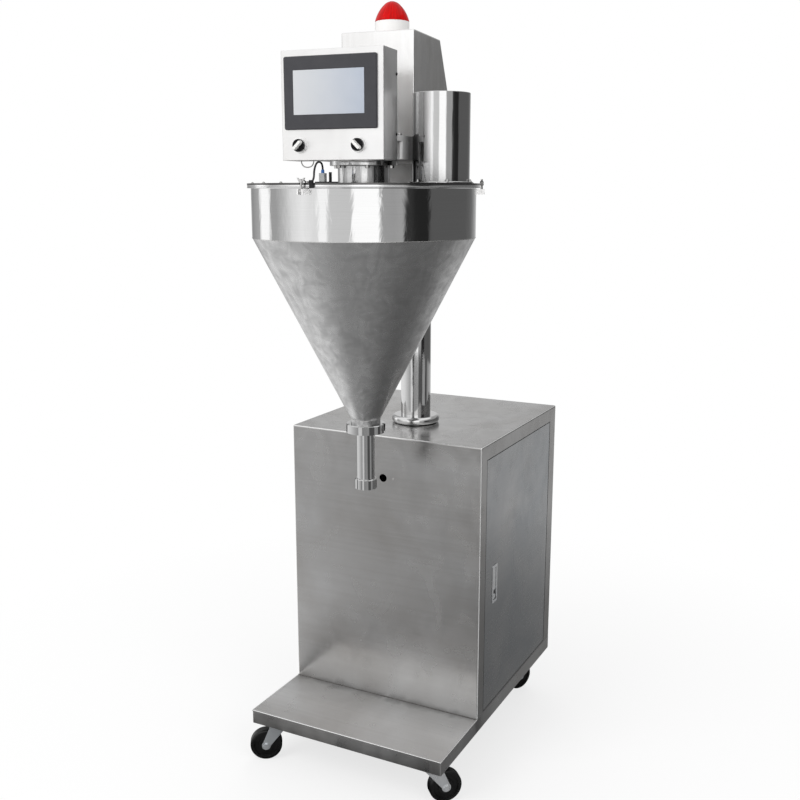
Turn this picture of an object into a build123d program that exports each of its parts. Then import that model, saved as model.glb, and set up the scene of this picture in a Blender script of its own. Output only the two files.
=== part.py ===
"""Auger powder filler: a wheeled cabinet, a column, and a head with hopper, auger, stirrer and panel.

Millimetres, +Z up. The origin is on the floor under the column's axis, the cabinet's front faces -Y,
and the head stands turned about the column by HEAD_TURN.
"""
import os
from math import atan2, cos, radians, sin, tan

from build123d import *

os.makedirs("parts", exist_ok=True)

# Clearances
RUNNING = 0.05
SEAT = 0.02
SIDE_PLAY = 0.5

# Casters
CASTER_HEIGHT = 106.0
WHEEL_RADIUS = 40.0
WHEEL_WIDTH = 26.0
WHEEL_SHOULDER = 6.0
WHEEL_TREAD_ROUND = 5.0
WHEEL_HUB_RADIUS = 15.0
WHEEL_DISH = 4.0
AXLE_RADIUS = 4.0
AXLE_HEAD_RADIUS = 7.0
AXLE_HEAD_LENGTH = 4.0
CASTER_TRAIL = 34.0
CASTER_INSET = 48.0
CASTER_PLATE_LENGTH = 84.0
CASTER_PLATE_WIDTH = 66.0
CASTER_PLATE_SHEET = 3.0
RACE_RADIUS = 27.0
RACE_HEIGHT = 9.0
KINGPIN_RADIUS = 5.0
KINGPIN_NUT_RADIUS = 9.0
KINGPIN_NUT_HEIGHT = 5.0
FORK_SHEET = 3.0
FORK_LEG_TOP = 44.0
FORK_LEG_END = 11.0
# Heading of each wheel's trail, in degrees about +Z from +X
CASTER_HEADINGS = {"front_left": 213.0, "front_right": 43.0, "rear_right": 241.0, "rear_left": 160.0}

# Base tray and cabinet
TRAY_LIP = 34.0
TRAY_SHEET = 2.0
TRAY_CORNER = 3.0
PAD_LENGTH = 108.0
PAD_SHEET = 3.0
PLATFORM_REACH = 212.0
PLATFORM_SEAM_WIDTH = 2.5
PLATFORM_SEAM_DEPTH = 0.8
CABINET_WIDTH = 520.0
CABINET_DEPTH = 532.0
CABINET_HEIGHT = 688.0
CABINET_SHEET = 2.0
CABINET_FOLD = 4.0
COLUMN_SETBACK = 180.0
CABLE_HOLE_RADIUS = 10.0
CABLE_HOLE_DROP = 106.0

# Side door, let into the right side
DOOR_FRONT_STRIP = 34.0
DOOR_REAR_STRIP = 45.0
DOOR_HEAD_STRIP = 37.0
DOOR_SILL = 5.0
DOOR_GAP = 2.0
DOOR_HINGE_GAP = 3.5
DOOR_SHEET = 1.5
DOOR_DEPTH = 18.0
JAMB_DEPTH = 22.0
JAMB_SHEET = 2.0
STOP_LIP = 12.0
PIVOT_INSET = 6.0
PIVOT_RADIUS = 2.5
PIVOT_REACH = 14.0
PIVOT_BOSS = 12.0

# Flush lock on the door
LOCK_SETBACK = 95.0
LOCK_HEIGHT = 322.0
LOCK_WIDTH = 31.0
LOCK_LENGTH = 98.0
LOCK_RIM = 5.0
LOCK_PROUD = 1.5
LOCK_CASE_DEPTH = 15.0
LOCK_CASE_WALL = 2.0
PADDLE_LENGTH = 58.0
PADDLE_THICK = 5.0
PADDLE_GAP = 0.8
PADDLE_PIN_RADIUS = 2.0
PADDLE_PIN_INSET = 6.0
LOCK_BARREL_RADIUS = 7.0

# Back panel and gland
BACK_PANEL_SIDE_STRIP = 25.0
BACK_PANEL_HEAD_STRIP = 49.0
BACK_PANEL_GLAND_GAP = 6.0
BACK_PANEL_LAP = 15.0
BACK_PANEL_SHEET = 1.5
LOUVRE_LENGTH = 90.0
LOUVRE_WIDTH = 6.0
LOUVRE_PITCH = 18.0
LOUVRE_ROWS = 6
LOUVRE_COLUMNS = 2
LOUVRE_SPACING = 180.0
GLAND_SIDE_INSET = 90.0
GLAND_DECK_GAP = 13.0
GLAND_THREAD_RADIUS = 10.0
GLAND_HEX_RADIUS = 15.0
GLAND_HEX_LENGTH = 8.0
GLAND_CAP_RADIUS = 12.0
GLAND_CAP_LENGTH = 16.0
GLAND_BORE_RADIUS = 5.0
GLAND_CAP_TAPER = 10.0

# Electrics
BOARD_WIDTH = 380.0
BOARD_HEIGHT = 480.0
BOARD_SHEET = 3.0
BOARD_STANDOFF = 20.0
BOARD_STANDOFF_RADIUS = 8.0
BOARD_LIFT = 80.0
DRIVE_SIZE = (120.0, 60.0, 170.0)
SUPPLY_SIZE = (90.0, 110.0, 100.0)
CONTACTOR_SIZE = (75.0, 45.0, 75.0)
CONTACTOR_COUNT = 3
CONTACTOR_PITCH = 52.0
MODULE_MARGIN = 40.0

# Column
COLUMN_RADIUS = 38.0
COLUMN_WALL = 4.0
COLUMN_FOOT_RADIUS = 75.0
COLUMN_FOOT_THICK = 12.0
COLUMN_ROOF_GAP = 0.3
FLANGE_RADIUS = 61.0
FLANGE_HEIGHT = 20.0
FLANGE_ROUND = 9.0

# Head layout: the hopper's axis stands ARM in front of the column
HEAD_TURN = 6.35
ARM = 333.0
CASE_BOTTOM = 1474.0
CASE_HEIGHT = 36.0
CASE_WALL = 4.0
CASE_FLOOR = 5.0
CASE_HALF_WIDTH = 110.0
CASE_FRONT = 392.0
CASE_REAR = 60.0
CASE_CORNER = 6.0
PLATE_THICK = 12.0
PANEL_BACK = 420.0
CLAMP_HALF_WIDTH = 70.0
CLAMP_FRONT = 62.0
CLAMP_HEIGHT = 47.0
CLAMP_SPLIT = 4.0
CLAMP_EDGE = 5.0
COLUMN_TOP_GAP = 0.5

# Motor cover and beacon
COVER_HALF_WIDTH = 85.5
COVER_FRONT = 252.7
COVER_TOP_BACK = 79.5
COVER_REAR = 45.0
COVER_HEIGHT = 227.5
COVER_SHEET = 2.0
COVER_ROUND = 3.0
BEACON_FORWARD = 163.7
BEACON_RADIUS = 38.5
BEACON_BASE_HEIGHT = 27.5
BEACON_LENS_HEIGHT = 47.5
BEACON_SHOULDER_RADIUS = 30.8
BEACON_SHOULDER_RISE = 26.6
BEACON_LENS_WALL = 2.0
BEACON_SPIGOT = 6.0
BEACON_LAMP_RADIUS = 11.0
BEACON_LAMP_HEIGHT = 20.0

# Drive
SERVO_FORWARD = 204.0
SERVO_SIDE = 80.0
SERVO_BODY = 98.0
SERVO_CAP_SIDE = 70.0
SERVO_CAP = 36.0
SERVO_SHAFT_RADIUS = 9.5
STIRRER_MOTOR_FORWARD = 110.0
GEARBOX_SIDE = 88.0
GEARBOX_HEIGHT = 58.0
STIRRER_MOTOR_RADIUS = 41.0
STIRRER_MOTOR_LENGTH = 104.0
STIRRER_MOTOR_SHAFT_RADIUS = 9.0
MOTOR_SHAFT_DEPTH = 22.0
MOTOR_EDGE = 6.0
SHAFT_HOLE_PLAY = 3.0
PULLEY_WIDTH = 12.0
PULLEY_FLANGE = 1.0
PULLEY_FLANGE_RISE = 2.0
PULLEY_STACK_GAP = 3.0
PULLEY_FLOOR_GAP = 2.0
AUGER_PULLEY_RADIUS = 32.0
SERVO_PULLEY_RADIUS = 20.0
STIRRER_PULLEY_RADIUS = 48.0
STIRRER_MOTOR_PULLEY_RADIUS = 24.0
BELT_GAP = 0.3
BELT_THICK = 3.0

# Spindle: auger shaft inside the stirrer's hollow shaft
AUGER_SHAFT_RADIUS = 10.0
AUGER_SLEEVE_RADIUS = 13.0
AUGER_SLEEVE_LENGTH = 36.0
AUGER_SLEEVE_DEPTH = 30.0
STIRRER_SHAFT_RADIUS = 22.5
STIRRER_SHAFT_BORE = 14.0
NECK_BEARING_RADIUS = 37.5
NECK_BEARING_WIDTH = 16.0
PLATE_BEARING_RADIUS = 21.0
PLATE_BEARING_WIDTH = 12.0
PLATE_BOSS_RADIUS = 36.0
PLATE_BOSS_HEIGHT = 8.0
NECK_RADIUS = 56.0
NECK_FLANGE_RADIUS = 73.0
NECK_FLANGE_THICK = 11.0
NECK_FOOT = 4.0
NECK_SHOULDER = 33.0

# Hopper and lid
RIM_TOP = 1419.0
RIM_THICK = 3.0
RIM_RADIUS = 250.0
HOPPER_RADIUS = 242.0
HOPPER_WALL = 2.0
HOPPER_CYLINDER = 107.0
CONE_HEIGHT = 405.0
FERRULE_RADIUS = 33.5
FERRULE_HEIGHT = 20.5
GASKET_THICK = 3.0
GASKET_WIDTH = 10.0
LID_THICK = 4.0
LID_SPINDLE_HOLE = 30.0

# Filling tube
NUT_RADIUS = 44.5
NUT_HEIGHT = 20.0
NUT_OVERLAP = 10.0
NUT_LIP = 5.0
NUT_SLOTS = 5
NUT_SLOT_START = -67.0
NUT_SLOT_WIDTH = 7.0
NUT_SLOT_DEPTH = 5.0
NUT_EDGE = 1.5
TUBE_RADIUS = 20.5
TUBE_WALL = 1.5
TUBE_LENGTH = 142.5
TUBE_FLANGE_RADIUS = 33.0
COLLAR_RADIUS = 25.3
COLLAR_HEIGHT = 23.0
COLLAR_SLOTS = 12
COLLAR_SLOT_WIDTH = 4.0
COLLAR_SLOT_DEPTH = 2.0
COLLAR_EDGE = 1.5

# Auger screw
AUGER_CORE_RADIUS = 8.0
AUGER_FLIGHT_RADIUS = 18.0
AUGER_PITCH = 32.0
AUGER_TURNS = 7
AUGER_FLIGHT_THICK = 2.5
AUGER_FLIGHT_ROOT = 1.0
AUGER_TIP_RISE = 3.0
AUGER_TIP_TAIL = 3.0

# Stirrer
STIRRER_WALL_GAP = 11.0
STIRRER_BAR_HEIGHT = 20.0
STIRRER_BAR_THICK = 8.0
STIRRER_BLADE_WIDTH = 22.0
STIRRER_HUB_RADIUS = 33.0
STIRRER_RING_RADIUS = 45.0
STIRRER_RING_BORE = 24.0
STIRRER_RING_HEIGHT = 14.0
STIRRER_FOOT_RISE = 80.0

# Inlet tube on the lid
INLET_RIGHT = 175.0
INLET_RADIUS = 60.0
INLET_WALL = 2.0
INLET_TOP = 1607.0
INLET_TAIL = 4.0
INLET_FLANGE_RADIUS = 67.0
INLET_FLANGE_THICK = 3.0

# Rim clamps
CLAMP_ANGLES = (-5.5, 114.5, 234.5)
CLAMP_PIN_OUT = 14.0
CLAMP_PIN_DROP = 10.0
CLAMP_PIN_RADIUS = 2.0
CLAMP_PIN_LENGTH = 16.0
CLAMP_EAR = 2.5
CLAMP_EAR_GAP = 8.0
CLAMP_EAR_HEIGHT = 11.0
CLAMP_EAR_REACH = 6.0
CLAMP_BASE_WIDTH = 20.0
CLAMP_BASE_THICK = 2.0
CLAMP_RIM_GAP = 2.0
SWING_SHANK_RADIUS = 2.5
SWING_EYE_RADIUS = 4.5
SWING_SHANK_LENGTH = 24.0
LUG_HALF_WIDTH = 8.0
LUG_BEYOND_SHANK = 3.0
LUG_SLOT_PLAY = 0.5
WING_GAP = 0.4
WING_HUB_RADIUS = 4.5
WING_HUB_HEIGHT = 5.0
WING_HUB_TAPER = 12.0
WING_SPAN = 9.0
WING_ROOT = 5.4
WING_TIP = 6.3
WING_THICK = 2.0
WING_RISE = 9.0

# Level sensor on the lid, placed right of and ahead of the column
SENSOR_RIGHT = -37.0
SENSOR_FORWARD = 462.0
SENSOR_SIDE = 12.0
SENSOR_HEIGHT = 17.0
BOOT_RADIUS = 3.6
BOOT_HEIGHT = 7.0
BOOT_TAPER = 4.0
STRIP_LENGTH = 46.0
STRIP_WIDTH = 20.0
STRIP_THICK = 3.0
POST_OFFSET = 17.0
POST_RADIUS = 3.0
POST_HEIGHT = 19.0
CLIP_ANGLE = -0.8
CLIP_LENGTH = 8.0
CLIP_DEPTH = 6.0
CLIP_HEIGHT = 15.0
CLIP_RISE = 5.0

# Panel box
PANEL_FRONT = 494.6
PANEL_HALF_WIDTH = 111.0
PANEL_BOTTOM = 1471.0
PANEL_HEIGHT = 213.0
PANEL_SHEET = 1.5
PANEL_ROUND = 2.0
TOUCH_WIDTH = 201.0
TOUCH_HEIGHT = 141.0
TOUCH_OFFSET = -2.5
TOUCH_CENTRE_RISE = 130.2
TOUCH_PROUD = 5.0
TOUCH_CORNER = 4.0
TOUCH_EDGE = 1.5
TOUCH_BODY_WIDTH = 188.0
TOUCH_BODY_HEIGHT = 128.0
TOUCH_BODY_DEPTH = 34.0
SCREEN_WIDTH = 154.0
SCREEN_HEIGHT = 86.0
SCREEN_OFFSET = -2.5
SCREEN_RISE = 1.0
SCREEN_RECESS = 0.5
KNOB_PLACES = {"left": -71.4, "right": 56.8}
KNOB_POINTERS = {"left": -45.0, "right": 45.0}
KNOB_RISE = 29.0
KNOB_RING_RADIUS = 15.0
KNOB_RING_THICK = 4.0
KNOB_BORE = 11.0
KNOB_RADIUS = 12.5
KNOB_DISC = 5.0
KNOB_GRIP_WIDTH = 7.0
KNOB_GRIP_HEIGHT = 9.0
KNOB_GRIP_TAPER = 5.0

# Head bolts with domed heads
BOLT_RADIUS = 5.0
BOLT_HEIGHT = 5.0
BOLT_ROUND = 2.5
PLATE_BOLT_INSET = 9.0
PLATE_BOLT_COUNT = 5
NECK_BOLT_COUNT = 6
NECK_BOLT_CIRCLE = 65.0

# Cords: sensor lead points from the boot to the clip, and the thin loop under the panel box
SENSOR_LEAD_RADIUS = 2.0
PANEL_LEAD_RADIUS = 1.2
PANEL_LEAD_SETBACK = 40.0
CORD_RUN_SHARE = 0.45

# Levels and lines that follow from the sizes above
DECK_Z = CASTER_HEIGHT + TRAY_LIP
ROOF_Z = DECK_Z + CABINET_HEIGHT
FRONT_Y = -COLUMN_SETBACK
BACK_Y = FRONT_Y + CABINET_DEPTH
TRAY_FRONT_Y = FRONT_Y - PLATFORM_REACH
SIDE_X = CABINET_WIDTH / 2
PLATE_BOTTOM = CASE_BOTTOM + CASE_HEIGHT
PLATE_TOP = PLATE_BOTTOM + PLATE_THICK
COVER_TOP = PLATE_TOP + COVER_HEIGHT
LID_BOTTOM = RIM_TOP + GASKET_THICK
LID_TOP = LID_BOTTOM + LID_THICK
CONE_TOP = RIM_TOP - HOPPER_CYLINDER
CONE_FOOT = CONE_TOP - CONE_HEIGHT
FERRULE_BOTTOM = CONE_FOOT - FERRULE_HEIGHT
NOZZLE_Z = FERRULE_BOTTOM - TUBE_LENGTH
CONE_SLOPE = (HOPPER_RADIUS - FERRULE_RADIUS) / CONE_HEIGHT
CONE_WALL_ACROSS = HOPPER_WALL / cos(atan2(HOPPER_RADIUS - FERRULE_RADIUS, CONE_HEIGHT))
NECK_FLANGE_BOTTOM = CASE_BOTTOM - NECK_FLANGE_THICK
LOWER_PULLEY_Z = CASE_BOTTOM + CASE_FLOOR + PULLEY_FLOOR_GAP
UPPER_PULLEY_Z = LOWER_PULLEY_Z + PULLEY_WIDTH + PULLEY_STACK_GAP
STIRRER_FOOT_Z = CONE_FOOT + STIRRER_FOOT_RISE
STIRRER_BAR_Z = CONE_TOP
CLAMP_PIN_Z = RIM_TOP - CLAMP_PIN_DROP
CLAMP_PIN_R = HOPPER_RADIUS + CLAMP_PIN_OUT

# Frames of the head: HEAD on the column's axis, SPINDLE on the hopper's axis
HEAD = Plane.XY.rotated((0, 0, HEAD_TURN))


def head_plane(right: float, forward: float, z: float) -> Plane:
    """Level plane in the head's frame, at a place right of and ahead of the column."""
    return Plane(origin=HEAD.from_local_coords((right, -forward, z)), x_dir=HEAD.x_dir, z_dir=(0, 0, 1))


def upright(level: Plane) -> Plane:
    """Vertical plane through a level plane's origin, facing the same front."""
    return Plane(origin=level.origin, x_dir=level.x_dir, z_dir=-level.y_dir)


def rim_plane(angle: float, radius: float, z: float) -> Plane:
    """Level plane on the rim, x outward; the angle runs from the front to the right."""
    turn = radians(angle)
    outward = HEAD.x_dir * sin(turn) - HEAD.y_dir * cos(turn)
    foot = SPINDLE.origin + outward * radius + Vector(0, 0, z)
    return Plane(origin=foot, x_dir=outward, z_dir=(0, 0, 1))


def write(piece: BuildPart, name: str) -> None:
    """Label a finished piece and save it under its node's name."""
    piece.part.label = name
    export_step(piece.part, f"parts/{name}.step")


SPINDLE = head_plane(0, ARM, 0)
SPINDLE_AXIS = Axis(SPINDLE.origin, (0, 0, 1))
SPINDLE_SECTION = upright(SPINDLE)

# Base tray with corner pads for the casters; a seam along the cabinet's foot parts off the platform
with BuildPart() as base_tray:
    with BuildSketch(Plane.XY.offset(CASTER_HEIGHT)):
        with Locations((0, (TRAY_FRONT_Y + BACK_Y) / 2)):
            RectangleRounded(CABINET_WIDTH, BACK_Y - TRAY_FRONT_Y, TRAY_CORNER)
    extrude(amount=TRAY_LIP)
    offset(amount=-TRAY_SHEET, openings=base_tray.faces().sort_by(Axis.Z)[0])
    with BuildSketch(Plane.XY.offset(CASTER_HEIGHT)):
        with Locations((0, (TRAY_FRONT_Y + BACK_Y) / 2)):
            pad_span_x = CABINET_WIDTH - 2 * TRAY_SHEET - PAD_LENGTH
            pad_span_y = BACK_Y - TRAY_FRONT_Y - 2 * TRAY_SHEET - PAD_LENGTH
            with GridLocations(pad_span_x, pad_span_y, 2, 2):
                Rectangle(PAD_LENGTH, PAD_LENGTH)
    extrude(amount=PAD_SHEET)
    with BuildSketch(Plane.XY.offset(DECK_Z)):
        with Locations((0, FRONT_Y - PLATFORM_SEAM_WIDTH / 2)):
            Rectangle(CABINET_WIDTH, PLATFORM_SEAM_WIDTH)
    extrude(amount=-PLATFORM_SEAM_DEPTH, mode=Mode.SUBTRACT)
write(base_tray, "base_tray")

# Cabinet shell with its door opening, jambs, back opening and cable hole
DOOR_Y0 = FRONT_Y + DOOR_FRONT_STRIP
DOOR_Y1 = BACK_Y - DOOR_REAR_STRIP
DOOR_Z0 = DECK_Z + DOOR_SILL
DOOR_Z1 = ROOF_Z - DOOR_HEAD_STRIP
OPENING_WIDTH = DOOR_Y1 - DOOR_Y0
OPENING_HEIGHT = DOOR_Z1 - DOOR_Z0
DOORWAY_MIDDLE = (SIDE_X, (DOOR_Y0 + DOOR_Y1) / 2, (DOOR_Z0 + DOOR_Z1) / 2)
DOORWAY = Plane(origin=DOORWAY_MIDDLE, x_dir=(0, 1, 0), z_dir=(1, 0, 0))
PIVOT_X = SIDE_X - PIVOT_INSET
PIVOT_Y = DOOR_Y1 - DOOR_HINGE_GAP - PIVOT_INSET
GLAND_X = GLAND_SIDE_INSET - SIDE_X
GLAND_Z = DECK_Z + GLAND_DECK_GAP + GLAND_HEX_RADIUS
GLAND_PLACE = Plane(origin=(GLAND_X, BACK_Y, GLAND_Z), x_dir=(-1, 0, 0), z_dir=(0, 1, 0))
BACK_PANEL_Z0 = GLAND_Z + GLAND_HEX_RADIUS + BACK_PANEL_GLAND_GAP
BACK_PANEL_Z1 = ROOF_Z - BACK_PANEL_HEAD_STRIP
BACK_PANEL_WIDTH = CABINET_WIDTH - 2 * BACK_PANEL_SIDE_STRIP
BACK_PANEL_HEIGHT = BACK_PANEL_Z1 - BACK_PANEL_Z0
BACK_MIDDLE_Z = (BACK_PANEL_Z0 + BACK_PANEL_Z1) / 2
with BuildPart() as cabinet_shell:
    with BuildSketch(Plane.XY.offset(DECK_Z)):
        with Locations((0, (FRONT_Y + BACK_Y) / 2)):
            Rectangle(CABINET_WIDTH, CABINET_DEPTH)
    extrude(amount=CABINET_HEIGHT)
    cabinet_folds = cabinet_shell.edges().filter_by(lambda edge: edge.center().Z > DECK_Z + CABINET_FOLD)
    fillet(cabinet_folds, CABINET_FOLD)
    offset(amount=-CABINET_SHEET, openings=cabinet_shell.faces().sort_by(Axis.Z)[0])
    with BuildSketch(DOORWAY):
        Rectangle(OPENING_WIDTH, OPENING_HEIGHT)
    extrude(amount=-2 * CABINET_SHEET, mode=Mode.SUBTRACT)
    with BuildSketch(DOORWAY):
        Rectangle(OPENING_WIDTH + 2 * JAMB_SHEET, OPENING_HEIGHT + 2 * JAMB_SHEET)
        Rectangle(OPENING_WIDTH, OPENING_HEIGHT, mode=Mode.SUBTRACT)
    extrude(amount=-JAMB_DEPTH)
    with BuildSketch(DOORWAY.offset(-JAMB_DEPTH)):
        Rectangle(OPENING_WIDTH + 2 * JAMB_SHEET, OPENING_HEIGHT + 2 * JAMB_SHEET)
        Rectangle(OPENING_WIDTH - 2 * STOP_LIP, OPENING_HEIGHT - 2 * STOP_LIP, mode=Mode.SUBTRACT)
    extrude(amount=-JAMB_SHEET)
    with BuildSketch(Plane.XY.offset(DECK_Z)):
        with Locations((PIVOT_X, PIVOT_Y)):
            Circle(PIVOT_RADIUS + SEAT)
    extrude(amount=CABINET_HEIGHT - CABINET_FOLD, mode=Mode.SUBTRACT)
    with BuildSketch(Plane.XY.offset(ROOF_Z)):
        Circle(COLUMN_RADIUS + COLUMN_ROOF_GAP)
    extrude(amount=-2 * CABINET_SHEET, mode=Mode.SUBTRACT)
    with BuildSketch(Plane.XZ.offset(-BACK_Y)):
        with Locations((0, BACK_MIDDLE_Z)):
            Rectangle(BACK_PANEL_WIDTH - 2 * BACK_PANEL_LAP, BACK_PANEL_HEIGHT - 2 * BACK_PANEL_LAP)
    extrude(amount=2 * CABINET_SHEET, mode=Mode.SUBTRACT)
    with BuildSketch(Plane.XZ.offset(-FRONT_Y)):
        with Locations((0, ROOF_Z - CABLE_HOLE_DROP)):
            Circle(CABLE_HOLE_RADIUS)
    extrude(amount=-2 * CABINET_SHEET, mode=Mode.SUBTRACT)
    with BuildSketch(GLAND_PLACE):
        Circle(GLAND_THREAD_RADIUS + SEAT)
    extrude(amount=-2 * CABINET_SHEET, mode=Mode.SUBTRACT)
write(cabinet_shell, "cabinet_shell")

# Back panel with rows of vent slots
with BuildPart() as back_panel:
    with BuildSketch(Plane.XZ.offset(-BACK_Y)):
        with Locations((0, BACK_MIDDLE_Z)):
            RectangleRounded(BACK_PANEL_WIDTH, BACK_PANEL_HEIGHT, BACK_PANEL_LAP / 2)
            with GridLocations(LOUVRE_SPACING, LOUVRE_PITCH, LOUVRE_COLUMNS, LOUVRE_ROWS):
                SlotOverall(LOUVRE_LENGTH, LOUVRE_WIDTH, mode=Mode.SUBTRACT)
    extrude(amount=-BACK_PANEL_SHEET)
write(back_panel, "back_panel")

# Cable gland low on the back
with BuildPart() as cable_gland:
    with BuildSketch(GLAND_PLACE):
        RegularPolygon(GLAND_HEX_RADIUS, 6)
    extrude(amount=GLAND_HEX_LENGTH)
    with BuildSketch(GLAND_PLACE.offset(GLAND_HEX_LENGTH)):
        Circle(GLAND_CAP_RADIUS)
    extrude(amount=GLAND_CAP_LENGTH, taper=GLAND_CAP_TAPER)
    with BuildSketch(GLAND_PLACE):
        Circle(GLAND_THREAD_RADIUS)
    extrude(amount=-GLAND_HEX_LENGTH)
    with BuildSketch(GLAND_PLACE.offset(-GLAND_HEX_LENGTH)):
        Circle(GLAND_BORE_RADIUS)
    extrude(amount=2 * GLAND_HEX_LENGTH + GLAND_CAP_LENGTH, mode=Mode.SUBTRACT)
write(cable_gland, "cable_gland")

# Side door: a shallow pan with pivot bosses and a cut-out for the lock
LOCK_Y = FRONT_Y + LOCK_SETBACK
LOCK_Z = DECK_Z + LOCK_HEIGHT
LOCK_FACE = Plane(origin=(SIDE_X, LOCK_Y, LOCK_Z), x_dir=(0, 1, 0), z_dir=(1, 0, 0))
LOCK_CASE_WIDTH = LOCK_WIDTH - 2 * LOCK_RIM
LOCK_CASE_LENGTH = LOCK_LENGTH - 2 * LOCK_RIM
DOOR_WIDTH = OPENING_WIDTH - DOOR_GAP - DOOR_HINGE_GAP
DOOR_HEIGHT = OPENING_HEIGHT - 2 * DOOR_GAP
DOOR_MIDDLE_Y = DOOR_Y0 + DOOR_GAP + DOOR_WIDTH / 2
DOOR_MIDDLE_Z = (DOOR_Z0 + DOOR_Z1) / 2
BOSS_SPAN = DOOR_HEIGHT - 2 * DOOR_SHEET - PIVOT_REACH
BOSS_SIDE = PIVOT_BOSS - 2 * DOOR_SHEET + SEAT
DOOR_FACE = Plane(origin=(SIDE_X, DOOR_MIDDLE_Y, DOOR_MIDDLE_Z), x_dir=(0, 1, 0), z_dir=(1, 0, 0))
with BuildPart() as side_door:
    with BuildSketch(DOOR_FACE):
        Rectangle(DOOR_WIDTH, DOOR_HEIGHT)
    extrude(amount=-DOOR_DEPTH)
    offset(amount=-DOOR_SHEET, openings=side_door.faces().sort_by(Axis.X)[0])
    for rise in (BOSS_SPAN / 2, -BOSS_SPAN / 2):
        with Locations((PIVOT_X, PIVOT_Y, DOOR_MIDDLE_Z + rise)):
            Box(BOSS_SIDE, BOSS_SIDE, PIVOT_REACH)
    with BuildSketch(Plane.XY.offset(DOOR_Z0)):
        with Locations((PIVOT_X, PIVOT_Y)):
            Circle(PIVOT_RADIUS + RUNNING)
    extrude(amount=OPENING_HEIGHT, mode=Mode.SUBTRACT)
    with BuildSketch(LOCK_FACE):
        Rectangle(LOCK_CASE_WIDTH + 2 * SEAT, LOCK_CASE_LENGTH + 2 * SEAT)
    extrude(amount=-2 * DOOR_SHEET, mode=Mode.SUBTRACT)
write(side_door, "side_door")

# Pivot pins from the jambs into the door's bosses
with BuildPart() as door_pivots:
    for start, reach in ((DOOR_Z0 - JAMB_SHEET, 1), (DOOR_Z1 + JAMB_SHEET, -1)):
        with BuildSketch(Plane.XY.offset(start)):
            with Locations((PIVOT_X, PIVOT_Y)):
                Circle(PIVOT_RADIUS)
        extrude(amount=reach * (JAMB_SHEET + DOOR_GAP + PIVOT_REACH))
write(door_pivots, "door_pivots")

# Flush lock: a rimmed case with a key barrel, and the paddle that swings out of it
PADDLE_TOP_Z = LOCK_LENGTH / 2 - LOCK_RIM - LOCK_CASE_WALL - PADDLE_GAP
PADDLE_PIN_Z = PADDLE_TOP_Z - PADDLE_PIN_INSET
PADDLE_WIDTH = LOCK_CASE_WIDTH - 2 * LOCK_CASE_WALL - 2 * PADDLE_GAP
POCKET_WIDTH = LOCK_CASE_WIDTH - 2 * LOCK_CASE_WALL
POCKET_LENGTH = LOCK_CASE_LENGTH - 2 * LOCK_CASE_WALL
BARREL_Z = -LOCK_LENGTH / 2 + LOCK_RIM + LOCK_CASE_WALL + LOCK_BARREL_RADIUS + PADDLE_GAP
PADDLE_PIN_X = -PADDLE_THICK / 2
with BuildPart() as lock_body:
    with BuildSketch(LOCK_FACE):
        RectangleRounded(LOCK_WIDTH, LOCK_LENGTH, LOCK_RIM)
        Rectangle(POCKET_WIDTH, POCKET_LENGTH, mode=Mode.SUBTRACT)
    extrude(amount=LOCK_PROUD)
    with BuildSketch(LOCK_FACE):
        Rectangle(LOCK_CASE_WIDTH, LOCK_CASE_LENGTH)
    extrude(amount=-LOCK_CASE_DEPTH)
    with BuildSketch(LOCK_FACE):
        Rectangle(POCKET_WIDTH, POCKET_LENGTH)
    extrude(amount=LOCK_CASE_WALL - LOCK_CASE_DEPTH, mode=Mode.SUBTRACT)
    with BuildSketch(LOCK_FACE.offset(LOCK_CASE_WALL - LOCK_CASE_DEPTH)):
        with Locations((0, BARREL_Z)):
            Circle(LOCK_BARREL_RADIUS)
    extrude(amount=LOCK_CASE_DEPTH - LOCK_CASE_WALL)
    with BuildSketch(Plane.XZ.offset(-LOCK_Y)):
        with Locations((SIDE_X + PADDLE_PIN_X, LOCK_Z + PADDLE_PIN_Z)):
            Circle(PADDLE_PIN_RADIUS + RUNNING)
    extrude(amount=LOCK_CASE_WIDTH, both=True, mode=Mode.SUBTRACT)
write(lock_body, "lock_body")

with BuildPart() as lock_paddle:
    with BuildSketch(LOCK_FACE):
        with Locations((0, PADDLE_TOP_Z - PADDLE_LENGTH / 2)):
            Rectangle(PADDLE_WIDTH, PADDLE_LENGTH)
    extrude(amount=-PADDLE_THICK)
    fillet(lock_paddle.edges().filter_by(Axis.Y).group_by(Axis.Z)[-1], PADDLE_THICK / 2 - SEAT)
    with BuildSketch(Plane.XZ.offset(-LOCK_Y)):
        with Locations((SIDE_X + PADDLE_PIN_X, LOCK_Z + PADDLE_PIN_Z)):
            Circle(PADDLE_PIN_RADIUS)
    extrude(amount=LOCK_CASE_WIDTH / 2, both=True)
write(lock_paddle, "lock_paddle")

# Electrics on the left wall
BOARD_X = -SIDE_X + CABINET_SHEET + BOARD_STANDOFF
BOARD_Z = DECK_Z + BOARD_LIFT + BOARD_HEIGHT / 2
BOARD_Y = (FRONT_Y + BACK_Y) / 2
BOARD_FACE = Plane(origin=(BOARD_X, BOARD_Y, BOARD_Z), x_dir=(0, 1, 0), z_dir=(1, 0, 0))
with BuildPart() as electrics_plate:
    with BuildSketch(BOARD_FACE):
        Rectangle(BOARD_WIDTH, BOARD_HEIGHT)
    extrude(amount=BOARD_SHEET)
    with BuildSketch(BOARD_FACE):
        with GridLocations(BOARD_WIDTH - MODULE_MARGIN, BOARD_HEIGHT - MODULE_MARGIN, 2, 2):
            Circle(BOARD_STANDOFF_RADIUS)
    extrude(amount=-BOARD_STANDOFF)
write(electrics_plate, "electrics_plate")

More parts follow.
